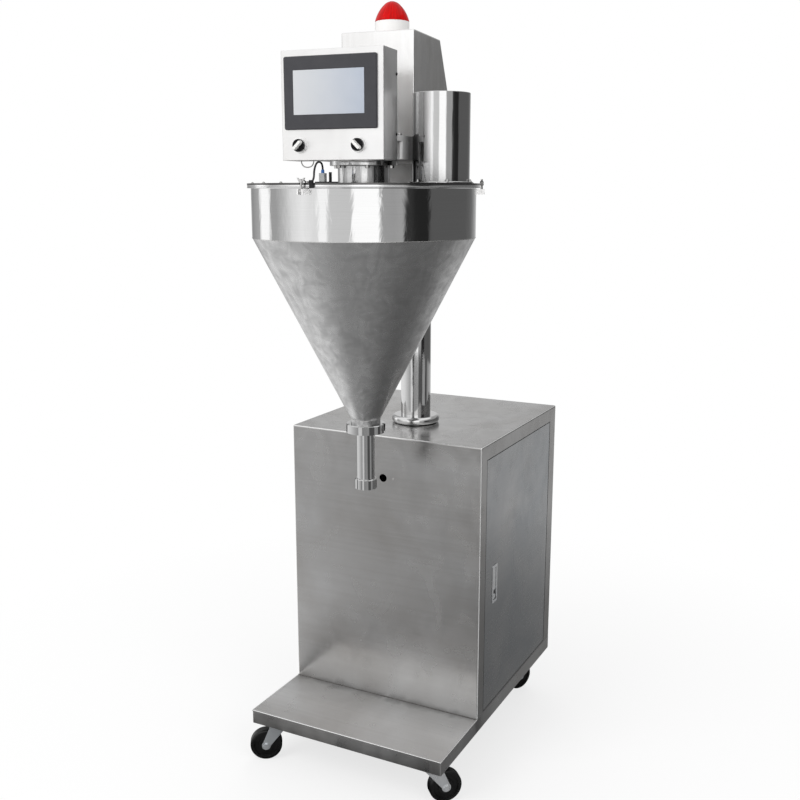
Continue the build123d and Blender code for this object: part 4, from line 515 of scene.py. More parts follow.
class HeadFrame:
    """Places measured right of, ahead of and above the column, in the head's own turned frame."""

    def __init__(self) -> None:
        """Take the head's turn from where the hopper stands."""
        low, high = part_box("hopper")
        middle = (low + high) / 2
        self.spindle = Vector((middle.x, middle.y, 0))
        self.right = Vector((-middle.y, middle.x, 0)).normalized()
        self.forward = self.spindle.normalized()

    def point(self, right: float, forward: float, up: float) -> Vector:
        """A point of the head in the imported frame."""
        return self.right * right + self.forward * forward + UP * up

    def spoke(self, degrees: float) -> Vector:
        """Level direction that is turned from straight ahead to the right."""
        turn = math.radians(degrees)
        return self.right * math.sin(turn) + self.forward * math.cos(turn)

    def extent(self, node: str) -> tuple[Vector, Vector]:
        """Measure a CAD node in the head's frame.

        Args:
            node: The node's name.

        Returns:
            Its lowest and its highest right, forward and up.
        """
        corners = [v.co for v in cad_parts[node].data.vertices]
        sides = [[c.dot(axis) for c in corners] for axis in (self.right, self.forward, UP)]
        return Vector([min(s) for s in sides]), Vector([max(s) for s in sides])

    def middle(self, node: str) -> Vector:
        """Middle of a CAD node's box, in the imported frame."""
        low, high = self.extent(node)
        return self.point(*((low + high) / 2))


def soften(points: Profile, radius: float, steps: int = 4) -> Profile:
    """Round every corner of a closed profile.

    Args:
        points: Corners as (distance from the axis, height).
        radius: Size of the rounding, less where a side is short.
        steps: Points along each rounding.

    Returns:
        The profile with its corners rounded.
    """
    result = []
    count = len(points)
    for i in range(count):
        before, here, after = (Vector(points[(i + k) % count]) for k in (-1, 0, 1))
        cut = min(radius, (before - here).length * SIDE_SHARE, (after - here).length * SIDE_SHARE)
        start = here + (before - here).normalized() * cut
        end = here + (after - here).normalized() * cut
        for k in range(steps + 1):
            t = k / steps
            result.append(tuple(start * (1 - t) ** 2 + here * 2 * t * (1 - t) + end * t * t))
    return result


def skin(bm: Solid, rings: list[list[bmesh.types.BMVert]]) -> None:
    """Join rings of points with faces.

    Args:
        bm: The mesh.
        rings: The rings, each of which is joined to the next.
    """
    for here, there in zip(rings, rings[1:]):
        for i in range(len(here)):
            j = (i + 1) % len(here)
            bm.faces.new((here[i], here[j], there[j], there[i]))


def lathe(profile: Profile, centre: Vector, steps: int = 144) -> Solid:
    """Turn a closed profile about an upright axis.

    Args:
        profile: Corners as (distance from the axis, height).
        centre: The axis' foot, at height 0.
        steps: Facets round the piece.

    Returns:
        A closed mesh with its faces outwards.
    """
    bm = bmesh.new()
    side = UP.orthogonal().normalized()
    other = UP.cross(side)
    rings = []
    for k in range(steps):
        turn = 2 * math.pi * k / steps
        out = side * math.cos(turn) + other * math.sin(turn)
        rings.append([bm.verts.new(centre + out * r + UP * h) for r, h in profile])
    skin(bm, rings + rings[:1])
    bmesh.ops.remove_doubles(bm, verts=bm.verts, dist=WELD)
    bmesh.ops.recalc_face_normals(bm, faces=bm.faces)
    return bm


def plate(width: float, height: float, thick: float, corner: float, place: Matrix) -> Solid:
    """A flat plate with round corners, its back on the place's own XY plane.

    Args:
        width: Size along X.
        height: Size along Y.
        thick: Size along Z.
        corner: Radius of the corners.
        place: Where the plate stands.

    Returns:
        A closed mesh.
    """
    bm = bmesh.new()
    outline = [(x * width / 2, y * height / 2) for x, y in ((-1, -1), (1, -1), (1, 1), (-1, 1))]
    base = bm.faces.new([bm.verts.new((x, y, 0)) for x, y in soften(outline, corner, steps=5)])
    raised = bmesh.ops.extrude_face_region(bm, geom=[base])
    tops = [v for v in raised["geom"] if isinstance(v, bmesh.types.BMVert)]
    bmesh.ops.translate(bm, verts=tops, vec=(0, 0, thick))
    bmesh.ops.recalc_face_normals(bm, faces=bm.faces)
    bmesh.ops.transform(bm, matrix=place, verts=bm.verts)
    return bm


def bead(line: list[Vector], radii: list[float], sides: int = 12) -> Solid:
    """A closed round bead along a level line, mitred at its corners.

    Args:
        line: Points of its middle, all at one height.
        radii: Radius at each point.
        sides: Facets round the bead.

    Returns:
        A closed mesh with its faces outwards.
    """
    bm = bmesh.new()
    ways = [(b - a).normalized() for a, b in zip(line, line[1:])]
    rings = []
    for place, radius, before, after in zip(line, radii, ways[:1] + ways, ways + ways[-1:]):
        middle = (before + after).normalized()
        side = middle.cross(UP) / middle.dot(after)
        rings.append([bm.verts.new(place + (side * math.cos(a) + UP * math.sin(a)) * radius)
                      for a in (2 * math.pi * k / sides for k in range(sides))])
    skin(bm, rings)
    for ring in (rings[0], rings[-1]):
        bm.faces.new(ring)
    bmesh.ops.recalc_face_normals(bm, faces=bm.faces)
    return bm


@dataclass
class Fasteners:
    """Round-headed screws and dome nuts, set out by geometry nodes on a list of points."""

    name: str
    head_radius: float
    head_height: float
    places: Places
    sides: int = 28
    rings: int = 12
    flange_share: float = 0.36
    dome_share: float = 0.78

    def tree(self, material: Material) -> NodeTree:
        """Build the node group: a flange and a dome on every point, turned to face its way.

        Args:
            material: Finish of the heads.

        Returns:
            The node group.
        """
        group = bpy.data.node_groups.new(f"{self.name}_layout", "GeometryNodeTree")
        for name, way, kind in (("Points", "INPUT", "Geometry"), ("Head Radius", "INPUT", "Float"),
                                ("Head Height", "INPUT", "Float"), ("Heads", "OUTPUT", "Geometry")):
            group.interface.new_socket(name, in_out=way, socket_type=f"NodeSocket{kind}")
        add = partial(add_node, group)
        given = add("NodeGroupInput").outputs
        radius, height = given["Head Radius"], given["Head Height"]
        thick, waist = (add("ShaderNodeMath", {0: size, 1: share}, operation="MULTIPLY").outputs[0]
                        for size, share in ((height, self.flange_share), (radius, self.dome_share)))
        flange = add("GeometryNodeMeshCylinder", {"Vertices": self.sides, "Radius": radius, "Depth": thick})
        ball = add("GeometryNodeMeshUVSphere", {"Segments": self.sides, "Rings": self.rings, "Radius": 1.0})
        size = add("ShaderNodeCombineXYZ", {0: waist, 1: waist, 2: height})
        dome = add("GeometryNodeTransform", {"Geometry": ball.outputs["Mesh"], "Scale": size.outputs[0]})
        head = add("GeometryNodeJoinGeometry", {0: flange.outputs["Mesh"]})
        put(head.inputs[0], dome.outputs[0])
        facing = add("GeometryNodeInputNamedAttribute", {"Name": "facing"}, data_type="FLOAT_VECTOR")
        align = add("FunctionNodeAlignRotationToVector", {"Vector": facing.outputs["Attribute"]}, axis="Z")
        spread = add("GeometryNodeInstanceOnPoints", {"Points": given["Points"], "Instance": head.outputs[0],
                                                      "Rotation": align.outputs[0]})
        real = add("GeometryNodeRealizeInstances", {0: spread.outputs[0]})
        paint = add("GeometryNodeSetMaterial", {"Geometry": real.outputs[0], "Material": material})
        add("NodeGroupOutput", {0: paint.outputs[0]})
        return group

    def build(self, material: Material) -> bpy.types.Mesh:
        """Set the heads out and make them one plain mesh.

        Args:
            material: Finish of the heads.

        Returns:
            The mesh of all the heads.
        """
        points = bpy.data.meshes.new(f"{self.name}_points")
        points.from_pydata([tuple(p) for p, _ in self.places], [], [])
        ways = points.attributes.new("facing", "FLOAT_VECTOR", "POINT")
        for item, (_, way) in zip(ways.data, self.places):
            item.vector = way
        carrier = bpy.data.objects.new(f"{self.name}_carrier", points)
        bpy.context.scene.collection.objects.link(carrier)
        modifier = carrier.modifiers.new("layout", "NODES")
        group = self.tree(material)
        sizes = {"Head Radius": self.head_radius, "Head Height": self.head_height}
        modifier.node_group = group
        for item in group.interface.items_tree:
            if item.name in sizes:
                modifier[item.identifier] = sizes[item.name]
        graph = bpy.context.evaluated_depsgraph_get()
        mesh = bpy.data.meshes.new_from_object(carrier.evaluated_get(graph))
        carrier.modifiers.remove(modifier)
        bpy.data.objects.remove(carrier)
        return mesh


@dataclass
class Finishes:
    """All the finishes of the filler, made once and kept by name."""

    head: HeadFrame
    made: dict[str, Material] = field(default_factory=dict)

    def build(self) -> None:
        """Make every material that the sub-assemblies use."""
        head, spindle = self.head, self.head.spindle
        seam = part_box("hopper")[1].z - Hopper.cylinder
        panel_front = head.extent("panel_box")[1].y
        block_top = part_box("level_sensor")[1].z - LidTop.boot_height
        half_screen = PanelFace.screen_width / 2
        inlet_bore = LidTop.inlet_radius - LidTop.inlet_wall / 2
        dial = Moulded("dial_black", (0.003, 0.003, 0.0035), 0.3, dust=0.01, shine=0.12)
        # Where set, these finishes paint shade into their tone on upright faces, near the tray's joint with the cabinet
        # and where other surfaces stand close; the cabinet's also paints a highlight on its folded edges.
        plain = (
            SheetSteel("cabinet_sheet", tone=0.52, roughness=0.22, edge=0, wall_shade=0.86, fold_highlight=0.8),
            SheetSteel("door_sheet", tone=0.5, warmth=-0.02, roughness=0.24, edge=0),
            SheetSteel("tray_sheet", tone=0.74, roughness=0.32, edge=0, wall_shade=0.84, seam=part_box("cabinet_shell")[0].y),
            SheetSteel("cover_sheet", tone=0.84, grain=Grain.UPRIGHT, roughness=0.16, marks=0.16, nook_shade=0.2,
                       nook_shade_least=0.6),
            SheetSteel("panel_sheet", tone=0.88, roughness=0.36, marks=0.05),
            SheetSteel("case_plate", tone=0.66, roughness=0.36, marks=0.2, metallic=0.3, nook_shade=0.05, nook_shade_least=0.75),
            SheetSteel("small_steel", tone=0.52, roughness=0.2, edge=0.4 * MM),
            SheetSteel("lock_chrome", tone=0.74, warmth=-0.03, roughness=0.16, marks=0.05, edge=0.5 * MM, metallic=0.8,
                       nook_shade=0.012),
            SheetSteel("ring_white", tone=0.86, roughness=0.2, marks=0.03, edge=0.5 * MM, metallic=0.4),
            SheetSteel("clamp_satin", tone=0.5, roughness=0.4, metallic=0.5, nook_shade=0.1, nook_shade_least=0.6),
            SheetSteel("caster_zinc", tone=0.72, warmth=-0.035, roughness=0.3, marks=0.1, edge=0.6 * MM, metallic=0.7),
            SheetSteel("board_zinc", tone=0.6, warmth=0.03, roughness=0.4),
            PolishedSteel("tray_edge", tone=0.9, roughness=0.2, waver=0.2),
            PolishedSteel("mirror_column", waver=0.3),
            Moulded("wheel_black", (0.002, 0.002, 0.0022), 0.42, dust=0.02),
            Moulded("beacon_white", (0.84, 0.83, 0.82), 0.35, edge=1.0 * MM),
            Moulded("bezel_grey", (0.026, 0.026, 0.031), 0.34, dust=0.04),
            Moulded("black_moulding", (0.008, 0.008, 0.009), 0.4, dust=0.05, shine=0.2),
            Moulded("lead_black", (0.008, 0.008, 0.009), 0.42, dust=0.05, shine=0.2),
            Moulded("lead_pale", (0.6, 0.6, 0.58), 0.42),
            Moulded("motor_black", (0.03, 0.03, 0.032), 0.4),
            Moulded("motor_iron", (0.16, 0.18, 0.2), 0.5),
            Moulded("module_grey", (0.4, 0.4, 0.4), 0.5),
            Moulded("seam_dark", (0.1, 0.095, 0.09), 0.5),
            TwoTone(dial, (0.8, 0.8, 0.78), head.forward, panel_front + PanelFace.dial_front),
            TwoTone(Moulded("sensor_grey", (0.42, 0.43, 0.43), 0.4), (0.03, 0.16, 0.5), UP, block_top),
            ScreenGlass("screen_glass", head.right, PanelFace.screen_right - half_screen,
                        PanelFace.screen_right + half_screen),
        )
        # The lid's finish paints shade on its upright rim; the head's and the inlet's polish paint shade where other
        # surfaces stand close.
        turned = (
            (SheetSteel("turned_head", tone=0.6, roughness=0.24, grain=Grain.ROUND, edge=0.5 * MM), spindle),
            (SheetSteel("lid_plate", tone=0.44, roughness=0.2, grain=Grain.ROUND, wall_shade=0.3), spindle),
            (PolishedSteel("mirror_head", roughness=0.1, nook_shade=0.05, nook_shade_least=0.3), spindle),
            (PolishedSteel("mirror_tube", tone=0.62, waver=0.15), spindle),
            (PolishedSteel("mirror_inlet", waver=0.3, nook_shade=0.35, nook_shade_least=0.07, bore=inlet_bore),
             head.middle("inlet_tube")),
            (PolishedSteel("hopper_steel", satin_below=seam), spindle),
            (RedLens("beacon_red"), head.middle("beacon_lens")),
        )
        self.made = {finish.name: finish.make() for finish in plain}
        self.made |= {finish.name: finish.make(axis) for finish, axis in turned}

    def __getitem__(self, name: str) -> Material:
        """One finish by its name."""
        return self.made[name]

    def dress(self, **nodes: str) -> None:
        """Give CAD nodes their finishes.

        Args:
            nodes: For each finish, the names of its nodes with spaces between.
        """
        for finish, names in nodes.items():
            for node in names.split():
                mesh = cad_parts[node].data
                mesh.materials.clear()
                mesh.materials.append(self.made[finish])
                log.info("dressed %s with %s", node, finish)


@dataclass
class SubAssembly:
    """What the sub-assemblies share: the finishes, the head's frame and the body that their own pieces ride on."""

    finishes: Finishes
    head: HeadFrame
    body: str = "head"
    sharp_angle: float = math.radians(38)

    def piece(self, name: str, shape: Solid | bpy.types.Mesh, finish: str, slot: str = "polished_steel",
              stands_for: str = "") -> None:
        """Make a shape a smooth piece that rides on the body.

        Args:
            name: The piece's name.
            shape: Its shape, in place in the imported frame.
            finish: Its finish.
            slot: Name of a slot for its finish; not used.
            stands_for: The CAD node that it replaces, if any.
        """
        mesh = shape
        if isinstance(shape, Solid):
            mesh = bpy.data.meshes.new(name)
            shape.to_mesh(mesh)
            shape.free()
        mesh.materials.clear()
        mesh.materials.append(self.finishes[finish])
        mesh.shade_smooth()
        mesh.set_sharp_from_angle(angle=self.sharp_angle)
        piece = bpy.data.objects.new(name, mesh)
        bpy.context.scene.collection.objects.link(piece)
        piece.modifiers.new("even_shading", "WEIGHTED_NORMAL").keep_sharp = True
        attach(piece, self.body)
        if stands_for:
            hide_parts(stands_for)
        log.info("piece %s on %s: %d faces", name, self.body, len(mesh.polygons))

    def fasten(self, name: str, radius: float, height: float, places: Places, finish: str = "small_steel") -> None:
        """Set screws or nuts out as one piece; see Fasteners."""
        self.piece(name, Fasteners(name, radius, height, places).build(self.finishes[finish]), finish, "turned_steel")


@dataclass
class Stand(SubAssembly):
    """Tray, cabinet, door, column and casters."""

    body: str = "stand"
    column_radius: float = 38 * MM
    column_wall: float = 4 * MM
    column_foot: float = 12 * MM
    edge_round: float = 1.2 * MM
    ring_round: float = 9 * MM
    ring_steps: int = 8
    front_screw: Span = (28.8 * MM, 722.5 * MM)
    screw_radius: float = 3.2 * MM
    screw_height: float = 2.2 * MM
    panel_screw_inset: float = 8 * MM
    panel_screw_gaps: int = 3
    seam_radius: float = 1.2 * MM
    seam_waver: float = 0.25
    seam_beats: Span = (1.7, 0.6)
    seam_steps: int = 40
    bead_inset: float = 1.2 * MM
    bead_radius: float = 1.7 * MM

    def build(self) -> None:
        """Dress the CAD nodes and add the stand's own pieces."""
        corners = ("front_left", "front_right", "rear_left", "rear_right")
        self.finishes.dress(
            tray_sheet="base_tray", cabinet_sheet="cabinet_shell back_panel", door_sheet="side_door",
            small_steel="door_pivots", board_zinc="electrics_plate", module_grey="control_modules",
            black_moulding="cable_gland", lock_chrome="lock_body lock_paddle",
            caster_zinc=" ".join(["caster_plates"] + [f"caster_fork_{corner}" for corner in corners]),
            wheel_black=" ".join(f"caster_wheel_{corner}" for corner in corners),
        )
        self.column()
        self.screws()
        self.foot_seam()
        self.tray_edge_highlights()

    def column(self) -> None:
        """Turn the polished column and its foot ring."""
        low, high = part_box("column")
        radius, bore, foot = self.column_radius, self.column_radius - self.column_wall, low.z + self.column_foot
        tube = [(bore, low.z), (high.x, low.z), (high.x, foot), (radius, foot), (radius, high.z), (bore, high.z)]
        self.piece("column_tube", lathe(soften(tube, self.edge_round), Vector()), "mirror_column", stands_for="column")
        low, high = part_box("column_flange")
        crown = self.ring_round
        corner = high.x - crown
        ring = [(radius, low.z)]
        for k in range(-self.ring_steps, self.ring_steps + 1):
            turn = math.pi / 2 * k / self.ring_steps
            level = low.z + crown if k < 0 else high.z - crown
            ring.append((corner + crown * math.cos(turn), level + crown * math.sin(turn)))
        ring.append((radius, high.z))
        self.piece("column_ring", lathe(ring, Vector()), "mirror_column", stands_for="column_flange")

    def screws(self) -> None:
        """Small screw beside the front hole, and the screws of the back panel."""
        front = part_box("cabinet_shell")[0].y
        low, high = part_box("back_panel")
        places = [(Vector((self.front_screw[0], front, self.front_screw[1])), Vector((0, -1, 0)))]
        inset, gaps = self.panel_screw_inset, self.panel_screw_gaps
        for x in (low.x + inset, high.x - inset):
            for k in range(gaps + 1):
                z = low.z + inset + (high.z - low.z - 2 * inset) * k / gaps
                places.append((Vector((x, high.y, z)), Vector((0, 1, 0))))
        self.fasten("stand_screws", self.screw_radius, self.screw_height, places)

    def foot_seam(self) -> None:
        """The dark joint line where the cabinet's front meets the tray."""
        low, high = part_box("cabinet_shell")
        steps = range(self.seam_steps + 1)
        quick, slow = self.seam_beats
        line = [Vector((low.x + (high.x - low.x) * k / self.seam_steps, low.y, low.z)) for k in steps]
        radii = [self.seam_radius * (1 + self.seam_waver * math.sin(k * quick) * math.cos(k * slow)) for k in steps]
        self.piece("foot_seam", bead(line, radii), "seam_dark", "brushed_sheet")

    def tray_edge_highlights(self) -> None:
        """A brighter polished bead on the platform's front and side edges: a painted highlight along their rounding."""
        low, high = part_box("base_tray")
        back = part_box("cabinet_shell")[0].y
        inset = self.bead_inset
        left, right, front = low.x + inset, high.x - inset, low.y + inset
        line = [Vector((x, y, high.z - inset)) for x, y in ((left, back), (left, front), (right, front), (right, back))]
        self.piece("tray_edge_highlights", bead(line, [self.bead_radius] * len(line)), "tray_edge", "brushed_sheet")


@dataclass
class Hopper(SubAssembly):
    """Hopper with its beads, ring nut, filling tube and what turns inside."""

    cylinder: float = 107 * MM
    cone: float = 405 * MM
    wall: float = 2 * MM
    rim: float = 3 * MM
    barrel: float = 242 * MM
    ferrule: float = 33.5 * MM
    edge_round: float = 1.2 * MM
    bead_radius: float = 0.9 * MM
    bead_flat: float = 0.6
    bead_sides: int = 8
    facets: int = 192

    def build(self) -> None:
        """Turn the hopper and dress what hangs on it."""
        low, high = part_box("hopper")
        seam = high.z - self.cylinder
        foot = seam - self.cone
        rim_radius, rim_foot = (high.x - low.x) / 2, high.z - self.rim
        inner, inside = self.ferrule - self.wall, self.barrel - self.wall
        outline = [(inner, low.z), (self.ferrule, low.z), (self.ferrule, foot), (self.barrel, seam),
                   (self.barrel, rim_foot), (rim_radius, rim_foot), (rim_radius, high.z), (inside, high.z),
                   (inside, seam), (inner, foot)]
        shell = lathe(soften(outline, self.edge_round), self.head.spindle, self.facets)
        self.piece("hopper_shell", shell, "hopper_steel", stands_for="hopper")
        for name, radius, height in (("seam_bead", self.barrel, seam), ("ferrule_bead", self.ferrule, foot)):
            ring = [(radius + self.bead_radius * math.cos(a) * self.bead_flat, height + self.bead_radius * math.sin(a))
                    for a in (2 * math.pi * k / self.bead_sides for k in range(self.bead_sides))]
            self.piece(name, lathe(ring, self.head.spindle, self.facets), "turned_head")
        self.finishes.dress(
            mirror_tube="ring_nut auger_tube tube_collar",
            turned_head="auger_screw auger_shaft stirrer_shaft stirrer_paddles spindle_bearings",
            ring_white="clamp_brackets", small_steel="swing_bolt_1 swing_bolt_2 swing_bolt_3",
        )


@dataclass
class LidTop(SubAssembly):
    """Lid, inlet tube, neck and level sensor."""

    boot_height: float = 7 * MM
    edge_round: float = 1.0 * MM
    inlet_wall: float = 2 * MM
    inlet_radius: float = 60 * MM
    inlet_flange: float = 3 * MM
    neck_radius: float = 56 * MM
    neck_bore: float = 33 * MM
    neck_flange: float = 11 * MM
    nut_circle: float = 63.8 * MM
    nut_radius: float = 3.4 * MM
    nut_height: float = 5.5 * MM
    nut_angles: Span = (30, 90, 150, 210, 270, 330)
    lid_screw_circle: float = 238 * MM
    lid_screw_radius: float = 3.6 * MM
    lid_screw_height: float = 3.0 * MM
    lid_screw_angles: Span = (-36.0, -21.0, 24.0, 60.0, 95.0, 135.0, 180.0, 215.0, 255.0, 300.0)

    def build(self) -> None:
        """Dress the lid and the sensor, turn the polished pieces and set the nuts and screws out."""
        self.finishes.dress(lid_plate="lid", tray_edge="lid_gasket", sensor_grey="level_sensor",
                            black_moulding="sensor_bracket")
        head, lid_top = self.head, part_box("lid")[1].z
        inlet = head.middle("inlet_tube")
        inlet.z = 0
        flange_top = lid_top + self.inlet_flange
        low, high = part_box("inlet_tube")
        outer, bore, wide = self.inlet_radius, self.inlet_radius - self.inlet_wall, (high.x - low.x) / 2
        pipe = [(bore, low.z), (outer, low.z), (outer, lid_top), (wide, lid_top), (wide, flange_top),
                (outer, flange_top), (outer, high.z), (bore, high.z)]
        self.piece("inlet_pipe", lathe(soften(pipe, self.edge_round), inlet), "mirror_inlet", stands_for="inlet_tube")
        low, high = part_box("neck")
        outer, bore, wide, under = self.neck_radius, self.neck_bore, (high.x - low.x) / 2, high.z - self.neck_flange
        housing = [(bore, low.z), (outer, low.z), (outer, under), (wide, under), (wide, high.z), (bore, high.z)]
        self.piece("neck_housing", lathe(soften(housing, self.edge_round), head.spindle), "mirror_head",
                   stands_for="neck")
        self.fasten("inlet_nuts", self.nut_radius, self.nut_height,
                    [(inlet + UP * flange_top + head.spoke(a) * self.nut_circle, UP) for a in self.nut_angles])
        self.fasten("lid_screws", self.lid_screw_radius, self.lid_screw_height,
                    [(head.spindle + head.spoke(a) * self.lid_screw_circle + UP * lid_top, UP)
                     for a in self.lid_screw_angles])


@dataclass
class DriveHead(SubAssembly):
    """Drive case, plate, motor cover, motors and beacon."""

    foot_rise: float = 3.5 * MM
    lip: float = 1.5 * MM
    facets: int = 96
    # radius and height of the dome's outline, as shares of its widest radius and its height
    dome: Stops = (
        (1.0, 0.0), (0.985, 0.07), (0.95, 0.17), (0.89, 0.3), (0.81, 0.44), (0.7, 0.59), (0.56, 0.74), (0.42, 0.86),
        (0.28, 0.94), (0.14, 0.985), (0.0, 1.0),
    )

    def build(self) -> None:
        """Dress the drive, and turn the beacon's white foot and its red dome."""
        self.finishes.dress(
            cover_sheet="motor_cover", case_plate="drive_case drive_plate",
            small_steel="head_bolts servo_pulley stirrer_motor_pulley", clamp_satin="column_clamp",
            motor_black="servo_motor", motor_iron="stirrer_motor", black_moulding="drive_belts",
        )
        low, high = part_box("beacon_lens")
        foot_low, foot_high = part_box("beacon_base")
        axis = self.head.middle("beacon_lens")
        centre = Vector((axis.x, axis.y, 0))
        split = low.z + self.foot_rise
        outer, tall, wide = (high.x - low.x) / 2, high.z - split, (foot_high.x - foot_low.x) / 2
        foot = soften([(0.0, foot_low.z), (wide, foot_low.z), (wide, split), (0.0, split)], self.lip)
        curve = [(0.0, split)] + [(outer * r, split + tall * h) for r, h in self.dome]
        self.piece("beacon_foot", lathe(foot, centre, self.facets), "beacon_white", "beacon_white", "beacon_base")
        self.piece("beacon_dome", lathe(curve, centre, self.facets), "beacon_red", "beacon_red", "beacon_lens")


@dataclass
class PanelFace(SubAssembly):
    """Panel box, touch panel and selectors."""

    screen_width: float = 153.4 * MM
    screen_height: float = 85.4 * MM
    screen_right: float = -5 * MM
    screen_middle: float = 1602.2 * MM
    screen_thick: float = 0.35 * MM
    screen_corner: float = 0.5 * MM
    recess: float = 0.5 * MM
    dial_front: float = 9.35 * MM
    side_screw_heights: Span = (1522 * MM, 1638 * MM)
    side_screw_inset: float = 6 * MM
    side_screw_radius: float = 3.4 * MM
    side_screw_height: float = 2.6 * MM

    def build(self) -> None:
        """Dress the box, and lay the screen and the screws near the sides' back edges on it."""
        self.finishes.dress(panel_sheet="panel_box", bezel_grey="touch_panel", ring_white="selector_rings",
                            dial_black="selector_left selector_right")
        right = self.head.right
        front = self.head.extent("touch_panel")[1].y - self.recess
        place = Matrix((right, UP, right.cross(UP))).transposed().to_4x4()
        place.translation = self.head.point(self.screen_right, front, self.screen_middle)
        screen = plate(self.screen_width, self.screen_height, self.screen_thick, self.screen_corner, place)
        self.piece("screen", screen, "screen_glass", "bezel_grey")
        low, high = self.head.extent("panel_box")
        places = [(self.head.point(side, low.y + self.side_screw_inset, height), way)
                  for side, way in ((low.x, -right), (high.x, right)) for height in self.side_screw_heights]
        self.fasten("panel_screws", self.side_screw_radius, self.side_screw_height, places, "black_moulding")


@dataclass
class Lead:
    """A cord on a smooth line through its route's points, given right, forward and up in the head's frame."""

    name: str
    node: str
    slot: str
    diameter: float
    route: list[Triple]
    order: int = 3
    steps: int = 12
    roundness: int = 5

    def build(self, head: HeadFrame, material: Material) -> None:
        """Make the cord in place of its CAD tube.

        Args:
            head: The head's frame.
            material: The jacket's finish.
        """
        curve = bpy.data.curves.new(self.name, "CURVE")
        curve.dimensions = "3D"
        spline = curve.splines.new("NURBS")
        spline.points.add(len(self.route) - 1)
        places = [head.point(*place) for place in self.route]
        for point, place in zip(spline.points, places):
            point.co = (*place, 1.0)
        spline.order_u = self.order
        spline.use_endpoint_u = True
        spline.resolution_u = self.steps
        piece = bpy.data.objects.new(self.name, curve)
        bpy.context.scene.collection.objects.link(piece)
        line = bpy.data.meshes.new_from_object(piece)
        length = sum((line.vertices[a].co - line.vertices[b].co).length for a, b in (e.vertices for e in line.edges))
        bpy.data.meshes.remove(line)
        curve.bevel_depth = self.diameter / 2
        curve.bevel_resolution = self.roundness
        curve.use_fill_caps = True
        curve.materials.append(material)
        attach(piece, "head")
        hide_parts(self.node)
        log.info("cord %s: %.1f mm", self.name, length / MM)


